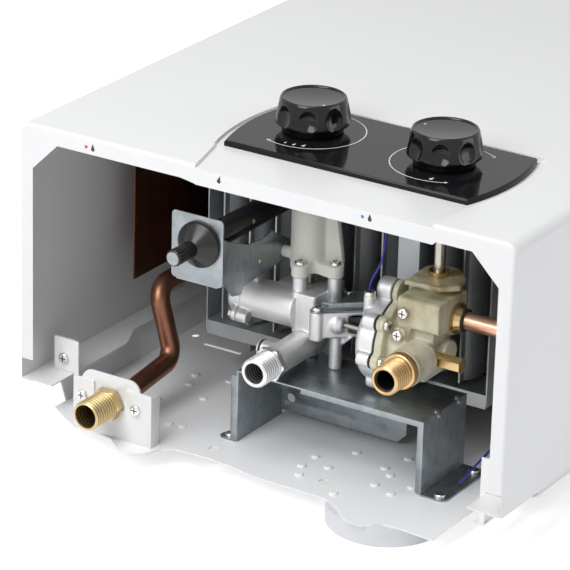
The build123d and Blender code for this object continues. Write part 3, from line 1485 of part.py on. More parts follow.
# ---- igniter box and its leads
igniter_z1 = plate_top + igniter_height
igniter = block(igniter_x0, igniter_x1, igniter_y0, igniter_y1, plate_top, igniter_z1)
igniter = fillet(igniter.edges().filter_by(Axis.Z), 3)
save(igniter, "igniter_box")
switch_top = rod_z_at + switch_high
switch_lead = [
    (switch_x1 - 3, switch_y0 + 3, switch_top),
    (switch_x1 - 3, switch_y0 + 3, switch_top + 11),
    (42.5, 80.0, 104.0),
    (50.7, 80.0, 121.7),
    (52.6, 80.0, 133.4),
    (51.5, 84.0, 146.0),
    (49.0, strap_y - lead / 2, 170.0),
]
lead_foot_x = table_x1 + table_foot_wide
lead_frame_x = frame_x + 6
lead_box_x = igniter_x1 + 18
box_lead_z = igniter_z1 - 8
box_lead = [
    (lead_foot_x, barrel_y - 24, plate_top + 8),
    (lead_foot_x - 2, manifold_y0 - 9, plate_top + 15),
    (lead_frame_x, manifold_y1, plate_top + 18),
    (lead_box_x, igniter_y0 - 10, plate_top + 14),
    (igniter_x1 + lead / 2, igniter_y0 + 17, box_lead_z),
]
save(group([wire(switch_lead, 4, lead), wire(box_lead, 8, lead)]), "ignition_leads")


# ---- exhaust grille and carry handle
def make_grille():
    y0 = cover_length
    y1 = cover_length + grille_thick
    grille = block(-grille_half, grille_half, y0, y1, grille_z0, grille_z1)
    grille = fillet(grille.edges().filter_by(Axis.Y), 6)
    pocket = block(-flue_half + 3, flue_half - 3, y0 - 1, y1 - sheet, flue_z0 + 3, flue_z1 - 3)
    grille = grille - pocket
    span = flue_z1 - flue_z0 - 14
    step = span / (grille_slots - 1)
    for index in range(grille_slots):
        z = flue_z0 + 7 + step * index
        slot = block(-flue_half + 8, flue_half - 8, y0 - 1, y1 + 1, z - step / 4, z + step / 4)
        grille = grille - slot
    for x, y, z in grille_screw_spots:
        grille = grille - screw_hole((x, y1, z), (0, 1, 0), 8)
    return grille


def make_ears():
    ears = []
    for side in (-1, 1):
        x = side * ear_x
        y1 = cover_length + ear_sheet
        outer_x = side * (ear_x + 2 * ear_base)
        inner_x = x - side * ear_sheet / 2
        base = block(min(outer_x, inner_x), max(outer_x, inner_x), cover_length, y1,
                     handle_pivot_z - ear_r, handle_pivot_z + ear_r)
        x0 = x - ear_sheet / 2
        x1 = x + ear_sheet / 2
        ear = block(x0, x1, cover_length, handle_pivot_y, handle_pivot_z - ear_r, handle_pivot_z + ear_r)
        ear = ear + rod_x(ear_r, x0, x1, handle_pivot_y, handle_pivot_z)
        ear = ear + base
        ear = ear - rod_x(handle_pin_r + fit_gap, x0 - 1, x1 + 1, handle_pivot_y, handle_pivot_z)
        ear = ear - screw_hole((side * handle_screw_x, y1, handle_pivot_z), (0, 1, 0), 8)
        ears.append(ear)
    return group(ears)


def make_handle():
    reach_y = handle_pivot_y + handle_reach
    inner = handle_half - handle_rod_r
    points = [
        (-inner, handle_pivot_y, handle_pivot_z),
        (-inner, reach_y, handle_pivot_z),
        (inner, reach_y, handle_pivot_z),
        (inner, handle_pivot_y, handle_pivot_z),
    ]
    handle = wire(points, 14, 2 * handle_rod_r)
    for side in (-1, 1):
        handle = handle + Pos(side * inner, handle_pivot_y, handle_pivot_z) * Sphere(handle_rod_r)
        pin_out = side * (ear_x + ear_sheet / 2 + 2)
        pin_in = side * inner
        handle = handle + rod_x(handle_pin_r, min(pin_in, pin_out), max(pin_in, pin_out),
                                handle_pivot_y, handle_pivot_z)
    return handle


save(make_grille(), "exhaust_grille")
save(make_ears(), "handle_ears")
save(make_handle(), "carry_handle")
end_screws = [screw((x, y + grille_thick, z), (0, 1, 0), 8) for x, y, z in grille_screw_spots]
end_screws += [screw((x, y + ear_sheet, z), (0, 1, 0), 6) for x, y, z in handle_screw_spots]
save(group(end_screws), "end_screws")
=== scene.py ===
import json
import math
import bmesh
import bpy
from mathutils import Matrix, Vector


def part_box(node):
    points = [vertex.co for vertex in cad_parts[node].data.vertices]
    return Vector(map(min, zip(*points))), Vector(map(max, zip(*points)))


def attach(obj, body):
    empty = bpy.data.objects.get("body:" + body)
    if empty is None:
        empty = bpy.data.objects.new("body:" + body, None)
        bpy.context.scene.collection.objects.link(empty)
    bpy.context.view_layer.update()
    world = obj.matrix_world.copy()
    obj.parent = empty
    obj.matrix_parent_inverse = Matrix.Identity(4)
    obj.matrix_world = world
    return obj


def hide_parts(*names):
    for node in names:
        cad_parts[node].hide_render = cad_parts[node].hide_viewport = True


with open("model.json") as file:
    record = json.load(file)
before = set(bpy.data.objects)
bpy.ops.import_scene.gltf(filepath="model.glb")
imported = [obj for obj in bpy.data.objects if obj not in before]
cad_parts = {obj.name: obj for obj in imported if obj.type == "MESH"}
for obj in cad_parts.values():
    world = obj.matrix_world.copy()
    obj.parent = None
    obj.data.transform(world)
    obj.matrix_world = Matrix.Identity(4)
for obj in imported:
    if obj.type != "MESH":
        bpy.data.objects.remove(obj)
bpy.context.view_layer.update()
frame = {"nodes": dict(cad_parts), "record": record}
print("frame loaded with", len(frame["nodes"]), "nodes")

mm = 0.001
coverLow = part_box("front_cover")[0]
mouth = Vector((0, coverLow.y, coverLow.z))


def at(x, y, z):
    # millimetres from the middle of the cover's rear edge at the connection end
    return mouth + Vector((x, y, z)) * mm


# angles in degrees, lens and sensor in millimetres as Blender wants them
camera = {"azimuth": 31.629, "elevation": 22.596, "roll": 1.616, "lens": 227.4, "sensor": 36,
          "distance": 2398.9, "aim": (23.16, 0, 124.78), "farClip": 20}


def makeCamera():
    azimuth, elevation, roll = (math.radians(camera[key]) for key in ("azimuth", "elevation", "roll"))
    level = math.cos(elevation)
    back = Vector((math.sin(azimuth) * level, -math.cos(azimuth) * level, math.sin(elevation)))
    right = Vector((math.cos(azimuth), math.sin(azimuth), 0))
    up = back.cross(right)
    tiltedRight = right * math.cos(roll) + up * math.sin(roll)
    tiltedUp = up * math.cos(roll) - right * math.sin(roll)
    data = bpy.data.cameras.new("camera")
    data.lens = camera["lens"]
    data.sensor_width = camera["sensor"]
    data.clip_end = camera["farClip"]
    eye = bpy.data.objects.new("camera", data)
    bpy.context.scene.collection.objects.link(eye)
    place = at(*camera["aim"]) + back * camera["distance"] * mm
    turn = Matrix((tiltedRight, tiltedUp, back)).transposed().to_4x4()
    eye.matrix_world = Matrix.Translation(place) @ turn
    bpy.context.scene.camera = eye


makeCamera()
print("camera placed")


class Value:
    # wraps one output socket, so that maths on values reads as an expression
    def __init__(self, owner, out):
        self.owner = owner
        self.out = out

    def maths(self, operation, *values):
        return self.owner.add("ShaderNodeMath", {"operation": operation}, dict(enumerate(values)))

    def __add__(self, other):
        return self.maths("ADD", self, other)

    def __radd__(self, other):
        return self.maths("ADD", other, self)

    def __sub__(self, other):
        return self.maths("SUBTRACT", self, other)

    def __rsub__(self, other):
        return self.maths("SUBTRACT", other, self)

    def __mul__(self, other):
        return self.maths("MULTIPLY", self, other)

    def __rmul__(self, other):
        return self.maths("MULTIPLY", other, self)

    def __truediv__(self, other):
        return self.maths("DIVIDE", self, other)

    def __rtruediv__(self, other):
        return self.maths("DIVIDE", other, self)

    def clamped(self):
        return self.maths("MINIMUM", self.maths("MAXIMUM", self, 0.0), 1.0)


class NodeTree:
    # a shader tree that grows by one method
    def __init__(self, tree):
        self.tree = tree

    def add(self, kind, settings=None, inputs=None, output=0):
        node = self.tree.nodes.new(kind)
        for key, value in (settings or {}).items():
            if key == "stops":
                setStops(node.color_ramp.elements, value)
            else:
                setattr(node, key, value)
        for key, value in (inputs or {}).items():
            self.feed(node.inputs[key], value)
        if node.outputs:
            return Value(self, node.outputs[output])

    def feed(self, socket, value):
        if isinstance(value, Value):
            self.tree.links.new(value.out, socket)
        else:
            socket.default_value = value

    def seen(self):
        # 1 for what the camera sees, straight or in metal or through glass
        rays = [self.add("ShaderNodeLightPath", output=ray)
                for ray in ("Is Camera Ray", "Is Glossy Ray", "Is Transmission Ray")]
        return (rays[0] + rays[1] + rays[2]).clamped()


class Finish(NodeTree):
    # one material, with a Principled shader at its end
    def __init__(self, name, **constants):
        self.material = bpy.data.materials.new(name)
        self.material.use_nodes = True
        super().__init__(self.material.node_tree)
        self.shader = self.tree.nodes["Principled BSDF"]
        self.spots = self.add("ShaderNodeTexCoord", output="Object")
        self.give(**constants)

    def give(self, **values):
        for key, value in values.items():
            self.feed(self.shader.inputs[key.replace("_", " ")], value)

    def stretched(self, scale):
        return self.add("ShaderNodeMapping", None, {"Vector": self.spots, "Scale": scale})

    def noise(self, scale, detail=3.0, rough=0.55, where=None):
        inputs = {"Vector": where or self.spots, "Scale": scale, "Detail": detail, "Roughness": rough}
        return self.add("ShaderNodeTexNoise", None, inputs)

    def ramp(self, factor, stops):
        return self.add("ShaderNodeValToRGB", {"stops": stops}, {"Fac": factor})

    def band(self, factor, low, high):
        # 0 below low, 1 above high
        return ((factor - low) / (high - low)).clamped()

    def tint(self, factor, dark, light):
        inputs = {0: factor, 6: dark, 7: light}
        return self.add("ShaderNodeMix", {"data_type": "RGBA"}, inputs, 2)

    def bump(self, height, distance, strength):
        inputs = {"Height": height, "Distance": distance * mm, "Strength": strength}
        return self.add("ShaderNodeBump", None, inputs)

    def hollows(self):
        # 0 on flats, towards 1 in grooves and inner corners; metal uses it as the mask of its painted shade
        return self.band(self.add("ShaderNodeNewGeometry", output="Pointiness"), 0.492, 0.42)


def setStops(elements, stops):
    while len(elements) < len(stops):
        elements.new(0.5)
    for element, (position, colour) in zip(elements, stops):
        element.position = position
        element.color = colour


def rgb(r, g, b):
    return (r, g, b, 1.0)


def dimmed(colour, share):
    return tuple(c * share for c in colour[:3]) + (1.0,)


def enamel(name, dark, light, rough=0.32):
    # baked paint on sheet: faint cloud and orange peel
    f = Finish(name, Specular_IOR_Level=0.45, Coat_Roughness=0.15)
    cloud = f.noise(6.0, 2.0)
    peel = f.noise(420.0, 2.0)
    f.give(Base_Color=f.tint(cloud, dark, light), Roughness=rough + 0.08 * f.noise(35.0))
    f.give(Coat_Weight=0.15 + 0.05 * cloud, Normal=f.bump(peel, 0.02, 0.25))
    return f.material


def gloss(name, colour, haze, level):
    # polished black plastic with a trace of smears
    f = Finish(name, Specular_IOR_Level=level, Coat_Roughness=0.03)
    smear = f.noise(28.0, 4.0)
    f.give(Base_Color=f.tint(smear, colour, dimmed(colour, 2.0)))
    f.give(Roughness=haze + 0.05 * smear, Normal=f.bump(f.noise(90.0), 0.01, 0.15))
    return f.material


def metal(name, dark, light, rough, grain=(220, 220, 220), metallic=1.0):
    # machined or drawn metal: tool lines along the grain, and painted shade that darkens its grooves and
    # inner corners
    f = Finish(name)
    lines = f.noise(1.0, 3.0, 0.6, f.stretched(grain))
    cloud = f.noise(45.0, 4.0)
    mixed = (0.6 * cloud + 0.4 * lines).clamped()
    unshadedTone = f.tint(mixed, dark, light)
    # painted shade: grooves and inner corners darken towards a fifth of the darkest tone
    f.give(Base_Color=f.tint(f.hollows(), unshadedTone, dimmed(dark, 0.22)), Metallic=metallic)
    f.give(Roughness=rough + 0.1 * (lines - 0.5), Normal=f.bump(lines, 0.01, 0.5))
    return f.material


def castAluminium():
    f = Finish("castAluminium")
    grain = f.noise(900.0, 3.0)
    cloud = f.noise(60.0, 4.0)
    tone = (0.7 * cloud + 0.3 * grain).clamped()
    f.give(Base_Color=f.tint(tone, rgb(0.56, 0.56, 0.57), rgb(0.80, 0.80, 0.80)))
    f.give(Metallic=0.75, Roughness=0.42 + 0.12 * cloud, Normal=f.bump(grain, 0.06, 0.6))
    return f.material


def galvanised():
    # zinc flakes under rolling streaks
    f = Finish("galvanised")
    flakes = f.add("ShaderNodeTexVoronoi", {"feature": "F1"}, {"Vector": f.spots, "Scale": 170.0}, "Color")
    grey = f.add("ShaderNodeSeparateColor", None, {"Color": flakes})
    streak = f.noise(1.0, 3.0, 0.6, f.stretched((40, 300, 60)))
    tone = (0.3 * grey + 0.7 * streak).clamped()
    f.give(Base_Color=f.tint(tone, rgb(0.20, 0.225, 0.24), rgb(0.42, 0.455, 0.475)))
    f.give(Metallic=0.9, Roughness=0.30 + 0.14 * grey, Normal=f.bump(streak, 0.02, 0.4))
    return f.material


def agedCopper(name, dark, light, rough):
    # heat tints over drawing lines
    f = Finish(name)
    cloud = f.noise(30.0, 5.0, 0.65)
    heat = f.noise(9.0, 2.0)
    tone = (0.55 * cloud + 0.5 * heat).clamped()
    fine = f.noise(1.0, 2.0, 0.5, f.stretched((300, 90, 300)))
    f.give(Base_Color=f.tint(tone, dark, light), Metallic=0.95)
    f.give(Roughness=rough + 0.18 * cloud, Normal=f.bump(fine, 0.02, 0.5))
    return f.material


def mouldedPlastic(name, dark, light, rough):
    f = Finish(name, Specular_IOR_Level=0.45)
    cloud = f.noise(25.0, 3.0)
    pores = f.noise(600.0, 2.0)
    f.give(Base_Color=f.tint(cloud, dark, light), Roughness=rough + 0.1 * cloud)
    f.give(Normal=f.bump(pores, 0.03, 0.5))
    return f.material


# places and reach of the brown stains round the valve's screws and fittings
nylonStains = [
    ((77.2, 58.0, 81.0), 9.0), ((78.0, 63.0, 95.5), 9.0), ((85.7, 98.0, 114.5), 12.0),
    ((105.0, 90.7, 89.8), 15.0), ((94.3, 37.6, 68.0), 17.0), ((66.0, 60.0, 97.0), 8.0),
]
nylonTones = [
    (0.36, rgb(0.30, 0.20, 0.08)), (0.45, rgb(0.48, 0.42, 0.24)),
    (0.56, rgb(0.63, 0.60, 0.43)), (0.74, rgb(0.80, 0.79, 0.67)),
]
nylonPaintedShade = (60, 118)  # heights between which painted shade darkens the moulding: pale low down nearer the light, darker towards the top


def naturalNylon():
    # glass-filled nylon: cloudy and a little translucent
    f = Finish("naturalNylon", Subsurface_Weight=0.3, Subsurface_Scale=0.004,
               Subsurface_Radius=(1.0, 0.8, 0.4), Specular_IOR_Level=0.55)
    flow = f.noise(1.0, 4.0, 0.6, f.stretched((55, 90, 35)))
    cloud = f.noise(28.0, 4.0)
    height = f.add("ShaderNodeSeparateXYZ", None, {"Vector": f.spots}, 2)
    # painted shade: the moulding is paler low down and darker towards the top
    shade = f.band(height, *(at(0, 0, z).z for z in nylonPaintedShade))
    tone = (0.55 * flow + 0.4 * cloud + 0.22 * (1 - shade)).clamped()
    stain = 0
    for spot, reach in nylonStains:
        away = f.add("ShaderNodeVectorMath", {"operation": "DISTANCE"}, {0: f.spots, 1: at(*spot)}, 1)
        stain = stain + (1 - f.band(away, 0.35 * reach * mm, reach * mm))
    stain = (stain * f.band(f.noise(160.0, 3.0), 0.36, 0.52)).clamped() * 0.88
    f.give(Base_Color=f.tint(stain, f.ramp(tone, nylonTones), rgb(0.25, 0.13, 0.04)))
    f.give(Roughness=0.22 + 0.15 * cloud, Normal=f.bump(flow, 0.05, 0.4))
    return f.material


# name, darkest and lightest colour and roughness, by material slot or print
plastics = {
    "foot_plastic": ("footPlastic", rgb(0.66, 0.67, 0.70), rgb(0.71, 0.72, 0.75), 0.5),
    "ivory_plastic": ("ivoryPlastic", rgb(0.70, 0.70, 0.63), rgb(0.79, 0.79, 0.72), 0.36),
    "black_plastic": ("blackPlastic", rgb(0.006, 0.006, 0.007), rgb(0.013, 0.013, 0.013), 0.2),
    "rubber": ("blackRubber", rgb(0.012, 0.012, 0.012), rgb(0.025, 0.025, 0.025), 0.6),
    "ceramic": ("ceramicGlaze", rgb(0.75, 0.73, 0.68), rgb(0.85, 0.83, 0.79), 0.2),
    "cell_jacket": ("cellJacket", rgb(0.03, 0.05, 0.1), rgb(0.06, 0.09, 0.16), 0.35),
    "lead_sheath": ("leadSheath", rgb(0.03, 0.03, 0.28), rgb(0.06, 0.06, 0.42), 0.4),
    "redPrint": ("redPrint", rgb(0.65, 0.05, 0.05), rgb(0.75, 0.08, 0.07), 0.4),
    "bluePrint": ("bluePrint", rgb(0.03, 0.25, 0.62), rgb(0.05, 0.32, 0.72), 0.4),
    "blackPrint": ("blackPrint", rgb(0.03, 0.03, 0.03), rgb(0.05, 0.05, 0.05), 0.5),
}
# the same, then the stretch of the grain, and how metallic it is, where they aren't the usual
metals = {
    "brass": ("brassMachined", rgb(0.46, 0.30, 0.12), rgb(0.72, 0.54, 0.28), 0.24, (120, 420, 120)),
    "screw_steel": ("screwSteel", rgb(0.58, 0.57, 0.54), rgb(0.82, 0.81, 0.78), 0.2),
    "spindle_steel": ("spindleSteel", rgb(0.34, 0.32, 0.28), rgb(0.56, 0.53, 0.48), 0.2, (300, 300, 30)),
    "barSteel": ("barSteel", rgb(0.30, 0.32, 0.33), rgb(0.58, 0.60, 0.61), 0.42, (50, 50, 20), 0.7),
}
coppers = {
    "copper_dark": ("copperAged", rgb(0.10, 0.04, 0.025), rgb(0.38, 0.18, 0.11), 0.28),
    "copper_bright": ("copperBright", rgb(0.72, 0.38, 0.26), rgb(0.93, 0.60, 0.45), 0.2),
}
finishes = {}
nodeFinish = {"burner_bars": "barSteel", "gas_manifold": "barSteel", "burner_frame": "barSteel"}


def makeFinishes():
    finishes["cover_white"] = enamel("coverEnamel", rgb(0.79, 0.795, 0.80), rgb(0.82, 0.825, 0.83))
    # painted light: the plate has the cover's white paint, made lighter here to make up for the light the
    # cover keeps off it
    finishes["plate_white"] = enamel("plateEnamel", rgb(0.84, 0.85, 0.86), rgb(0.87, 0.88, 0.89), 0.4)
    finishes["panel_gloss"] = gloss("panelGloss", rgb(0.006, 0.006, 0.007), 0.05, 0.2)
    finishes["knob_gloss"] = gloss("knobGloss", rgb(0.004, 0.004, 0.004), 0.08, 0.36)
    finishes["cast_aluminium"] = castAluminium()
    finishes["galvanised"] = galvanised()
    finishes["nylon"] = naturalNylon()
    for make, table in ((mouldedPlastic, plastics), (metal, metals), (agedCopper, coppers)):
        for slot, values in table.items():
            finishes[slot] = make(*values)


def dressNodes():
    for entry in frame["record"]["subparts"]:
        node = frame["nodes"][entry["node"]]
        node.data.materials.clear()
        node.data.materials.append(finishes[nodeFinish.get(entry["node"], entry["material_slot"])])


makeFinishes()
dressNodes()
print("finishes made:", len(finishes))


def bodyOf(node):
    for body, members in frame["record"]["behaviour"]["bodies"].items():
        if node in members:
            return body


def slotOf(node):
    for entry in frame["record"]["subparts"]:
        if entry["node"] == node:
            return entry["material_slot"]


def boxOf(node):
    # middle and low corner in metres, size in millimetres
    low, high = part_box(node)
    return (low + high) / 2, low, (high - low) / mm


def finishMesh(name, mesh, slot, body, replaced=(), crease=35, finish=None):
    for polygon in mesh.polygons:
        polygon.use_smooth = True
    mesh.set_sharp_from_angle(angle=math.radians(crease))
    piece = bpy.data.objects.new(name, mesh)
    bpy.context.scene.collection.objects.link(piece)
    mesh.materials.clear()
    mesh.materials.append(finishes[finish or slot])
    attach(piece, body)
    if replaced:
        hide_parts(*replaced)


def meshFrom(name, points, faces):
    mesh = bpy.data.meshes.new(name)
    mesh.from_pydata(points, [], faces)
    mesh.validate()
    return mesh


def ringFaces(rings, count):
    faces = []
    for ring in range(rings - 1):
        for k in range(count):
            a = ring * count + k
            b = ring * count + (k + 1) % count
            faces.append((a, b, b + count, a + count))
    return faces


def turned(origin, axis, start, rings, count):
    # rings are (distance along the axis, radius or a function of the angle); the ends are closed
    axis = Vector(axis).normalized()
    side = Vector(start).normalized()
    other = axis.cross(side)
    points = []
    for along, radius in rings:
        for k in range(count):
            angle = 2 * math.pi * k / count
            r = radius(angle) if callable(radius) else radius
            points.append(origin + axis * along + (side * math.cos(angle) + other * math.sin(angle)) * r)
    faces = ringFaces(len(rings), count)
    faces.append(tuple(reversed(range(count))))
    last = (len(rings) - 1) * count
    faces.append(tuple(range(last, last + count)))
    return points, faces


def metres(rings):
    # rings in millimetres; a radius that is a function already gives metres
    return [(along * mm, radius if callable(radius) else radius * mm) for along, radius in rings]


def joined(parts):
    points = []
    faces = []
    for morePoints, moreFaces in parts:
        base = len(points)
        points += list(morePoints)
        faces += [tuple(base + index for index in face) for face in moreFaces]
    return points, faces


def cadMesh(node, name):
    mesh = frame["nodes"][node].data.copy()
    mesh.name = name
    return mesh


def useModifier(mesh, name, kind, **settings):
    piece = bpy.data.objects.new(name, mesh)
    bpy.context.scene.collection.objects.link(piece)
    modifier = piece.modifiers.new(kind, kind)
    for key, value in settings.items():
        setattr(modifier, key, value)
    depsgraph = bpy.context.evaluated_depsgraph_get()
    made = bpy.data.meshes.new_from_object(piece.evaluated_get(depsgraph), depsgraph=depsgraph)
    bpy.data.objects.remove(piece)
    made.name = name
    return made


def welded(mesh):
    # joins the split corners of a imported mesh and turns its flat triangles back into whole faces
    bm = bmesh.new()
    bm.from_mesh(mesh)
    bmesh.ops.remove_doubles(bm, verts=bm.verts, dist=1e-6)
    bmesh.ops.dissolve_limit(bm, angle_limit=math.radians(2.0), verts=bm.verts, edges=bm.edges)
    bm.to_mesh(mesh)
    bm.free()
    return mesh


knob = {"segments": 240, "skirtIn": 4.8, "rimIn": 3.3, "wallStart": 7.2, "taper": 3.0, "dish": 0.9,
        "scallops": 8, "scallopDepth": 2.7, "scallopWide": 7.2, "scallopTall": 7.6, "scallopHeight": 13.2,
        "dotRadius": 0.9, "dotTall": 0.5, "dotReach": 17.0, "dotDown": 1.9}


def knobProfile(radius, height):
    # (radius, height) from the open skirt over the tapered wall and the rolled rim into the dished top
    skirt = radius - knob["skirtIn"]
    rim = radius - knob["rimIn"]
    start = knob["wallStart"]
    points = [(0.2, 0.0), (skirt - 0.4, 0.0), (skirt, 0.5), (skirt, 4.6), (skirt + 0.6, 5.2)]
    points += [(radius - 0.6, 5.9), (radius - 0.1, 6.4), (radius, start)]
    for step in range(1, 21):
        share = step / 20
        points.append((radius - knob["taper"] * share ** 1.25, start + (height - 1.8 - start) * share))
    points += [(rim - 0.1, height - 0.9), (rim - 0.5, height - 0.3), (rim - 1.1, height)]
    points += [(rim - 1.7, height - 0.15), (rim - 2.2, height - 0.6), (rim - 2.5, height - 1.2)]
    for step in range(1, 13):
        share = 1 - step / 12
        points.append((max((rim - 2.6) * share, 0.05), height - 1.2 - knob["dish"] * (1 - share ** 2)))
    return points


def makeKnob(name, node, dotAngle):
    centre, low, size = boxOf(node)
    radius = size.x / 2
    height = size.z
    rings = []
    for r, z in knobProfile(radius, height):
        def dipped(angle, r=r, z=z):
            # each scallop is an elliptic dip round its own middle line
            turn = (angle / (2 * math.pi) * knob["scallops"] + 0.5) % 1 - 0.5
            across = turn * 2 * math.pi / knob["scallops"] * radius / knob["scallopWide"]
            up = (z - knob["scallopHeight"]) / knob["scallopTall"]
            inside = 1 - across * across - up * up
            if inside <= 0 or r < radius - 4:
                return r * mm
            return (r - knob["scallopDepth"] * inside ** 0.8) * mm
        rings.append((z, dipped))
    base = Vector((centre.x, centre.y, low.z))
    shift = math.pi / knob["scallops"]
    start = (math.cos(shift), math.sin(shift), 0)
    points, faces = turned(base, (0, 0, 1), start, metres(rings), knob["segments"])
    finishMesh(name, meshFrom(name, points, faces), "knob_gloss", bodyOf(node), [node], 50)
    turn = math.radians(dotAngle)
    reach = knob["dotReach"]
    spot = Vector((math.cos(turn) * reach, math.sin(turn) * reach, height - knob["dotDown"]))
    rings = metres([(0, knob["dotRadius"]), (knob["dotTall"], knob["dotRadius"])])
    dot = turned(base + spot * mm, (0, 0, 1), (1, 0, 0), rings, 20)
    finishMesh(name + "Dot", meshFrom(name + "Dot", *dot), "ceramic", bodyOf(node))


makeKnob("gasKnobTurned", "gas_knob", -35)
makeKnob("waterKnobTurned", "water_knob", 175)
print("knobs made")


# half-inch pipe thread; crest and flank are shares of the pitch, and the grooves are darkened with painted
# shade
thread = {"radius": 10.65, "pitch": 2.7, "depth": 1.3, "crest": 0.08, "flank": 0.72, "start": 0.6,
          "entry": 1.2, "run": 1.6, "steps": 14, "segments": 96, "paintedGrooveShade": 0.12}


def threadRings(length):
    radius = thread["radius"]
    rings = [(0.0, radius - 1.25), (0.25, radius - 1.0)]
    count = int(length / thread["pitch"] * thread["steps"])
    for step in range(count + 1):
        along = thread["start"] + (length - thread["start"]) * step / count

        def groove(angle, along=along):
            wave = (along / thread["pitch"] - angle / (2 * math.pi)) % 1
            cut = min(1.0, max(0.0, abs(wave - 0.5) * 2 - thread["crest"]) / thread["flank"])
            fade = min(1.0, along / thread["run"]) * min(1.0, (length - along) / thread["run"] + 0.15)
            entry = max(0.0, 1.0 - along / thread["entry"])
            return (radius - max(thread["depth"] * (1 - cut) * fade, entry)) * mm
        rings.append((along, groove))
    return rings


def threadFinish(name, dark, light, rough, face, length):
    # machined metal whose thread grooves are darkened with painted shade, wound at the pitch of the thread
    # itself
    f = Finish(name)
    x, y, z = (f.add("ShaderNodeSeparateXYZ", None, {"Vector": f.spots}, axis) for axis in range(3))
    angle = x.maths("ARCTAN2", x - face.x, z - face.z)
    along = (y - face.y) / mm
    wave = x.maths("FRACT", along / thread["pitch"] - angle / (2 * math.pi))
    crest = f.band(2 * x.maths("ABSOLUTE", wave - 0.5), 0.1, 0.85)
    threaded = f.band(along, 0.6, 1.4) * (1 - f.band(along, length - 1.0, length - 0.2))
    groove = (1 - crest) * threaded
    cloud = f.noise(60.0, 4.0)
    # painted shade: the thread grooves darken to 0.12 of the darkest tone
    paintedGrooveShade = dimmed(dark, thread["paintedGrooveShade"])
    f.give(Base_Color=f.tint(groove, f.tint(cloud, dark, light), paintedGrooveShade), Metallic=1.0)
    f.give(Roughness=rough + 0.12 * cloud + 0.25 * groove)
    return f.material


def hexCollar(start, end, corner):
    # a hexagon for a spanner, its corners turned off at both ends
    def softened(limit):
        def radius(angle):
            turn = (angle + math.pi / 6) % (math.pi / 3) - math.pi / 6
            return min(corner * math.cos(math.pi / 6) / math.cos(turn), limit) * mm
        return radius
    inner = corner * 0.84
    return [(start, inner), (start + 0.05, softened(corner * 0.9)), (start + 0.6, softened(corner * 0.99)),
            (end - 0.6, softened(corner * 0.99)), (end - 0.05, softened(corner * 0.9)), (end, inner)]


def roundCollar(start, end, radius):
    return [(start, radius - 1.6), (start + 0.3, radius - 0.4), (start + 0.8, radius), (end, radius)]


# each collar runs from the end of the thread to its own end, and spigot is (start, radius)
ports = {
    "hotOutletThread": {"node": "hot_outlet", "length": 23.0, "bore": 8.3,
                        "collar": hexCollar, "collarEnd": 29.2, "collarRadius": 12.4,
                        "spigot": (29.25, 8.2),
                        "tones": (rgb(0.46, 0.34, 0.16), rgb(0.70, 0.56, 0.31), 0.26)},
    "gasInletThread": {"node": "gas_inlet", "length": 18.0, "bore": 7.3,
                       "collar": hexCollar, "collarEnd": 23.0, "collarRadius": 12.9,
                       "spigot": (23.1, 8.45),
                       "tones": (rgb(0.62, 0.62, 0.63), rgb(0.80, 0.80, 0.80), 0.24)},
    "coldInletThread": {"node": "cold_inlet", "length": 18.0, "bore": 7.7,
                        "collar": roundCollar, "collarEnd": 24.0, "collarRadius": 12.8,
                        "spigot": (24.05, 9.05),
                        "tones": (rgb(0.50, 0.30, 0.12), rgb(0.80, 0.56, 0.30), 0.24)},
}


def makePort(name, port):
    # bore, thread, collar and spigot as one turned skin, from inside the bore round to its far end
    centre, low, size = boxOf(port["node"])
    face = Vector((centre.x, low.y, centre.z))
    finishes[name] = threadFinish(name, *port["tones"], face, port["length"])
    depth = size.y
    bore = port["bore"]
    rings = [(depth - 0.5, bore * 0.92), (1.0, bore), (0.3, bore + 0.25), (0.0, bore + 0.8)]
    rings += threadRings(port["length"])
    rings += port["collar"](port["length"], port["collarEnd"], port["collarRadius"])
    spigotStart, spigotRadius = port["spigot"]
    rings += [(spigotStart, spigotRadius), (depth, spigotRadius)]
    count = thread["segments"]
    points, faces = turned(face, (0, 1, 0), (0, 0, 1), metres(rings), count)
    last = (len(rings) - 1) * count
    faces = faces[:-2]  # the two end caps make way for a ring between the spigot and the bore
    faces += [(last + k, last + (k + 1) % count, (k + 1) % count, k) for k in range(count)]
    mesh = meshFrom(name, points, faces)
    finishMesh(name, mesh, slotOf(port["node"]), bodyOf(port["node"]), [port["node"]], 40, name)


for portName, portValues in ports.items():
    makePort(portName, portValues)
print("ports made")


# piece: (node, rounds of smoothing); all are remade at one voxel size
castings = {
    "gasValveCasting": ("gas_valve", 5),
    "solenoidCap": ("solenoid", 4),
    "diaphragmCoverCasting": ("diaphragm_cover", 5),
    "waterValveMoulding": ("water_valve", 5),
    "spindleColumnMoulding": ("spindle_column", 5),
}
castVoxel = 0.7


def makeCasting(name, node, rounds):
    # soft corners: the outer form is remade as one skin and then eased
    mesh = cadMesh(node, name)
    mesh = useModifier(mesh, name, "REMESH", mode="VOXEL", voxel_size=castVoxel * mm, use_smooth_shade=True)
    mesh = useModifier(mesh, name, "SMOOTH", factor=0.5, iterations=rounds)
    finishMesh(name, mesh, slotOf(node), bodyOf(node), [node], 60)


for castName, (castNode, castRounds) in castings.items():
    makeCasting(castName, castNode, castRounds)
print("castings made")


# piece: (node, width of its broken edges)
sheets = {
    "supportTableSheet": ("support_table", 0.45),
    "batteryBracketSheet": ("battery_bracket", 0.3),
    "outletBracketSheet": ("outlet_bracket", 0.4),
    "clampPlateSheet": ("clamp_plate", 0.4),
    "valvePlateSheet": ("valve_plate", 0.35),
}


def makeSheet(name, node, edge):
    mesh = welded(cadMesh(node, name))
    mesh = useModifier(mesh, name, "BEVEL", width=edge * mm, segments=2, limit_method="ANGLE",
                       angle_limit=math.radians(40), harden_normals=False)
    finishMesh(name, mesh, slotOf(node), bodyOf(node), [node], 30)


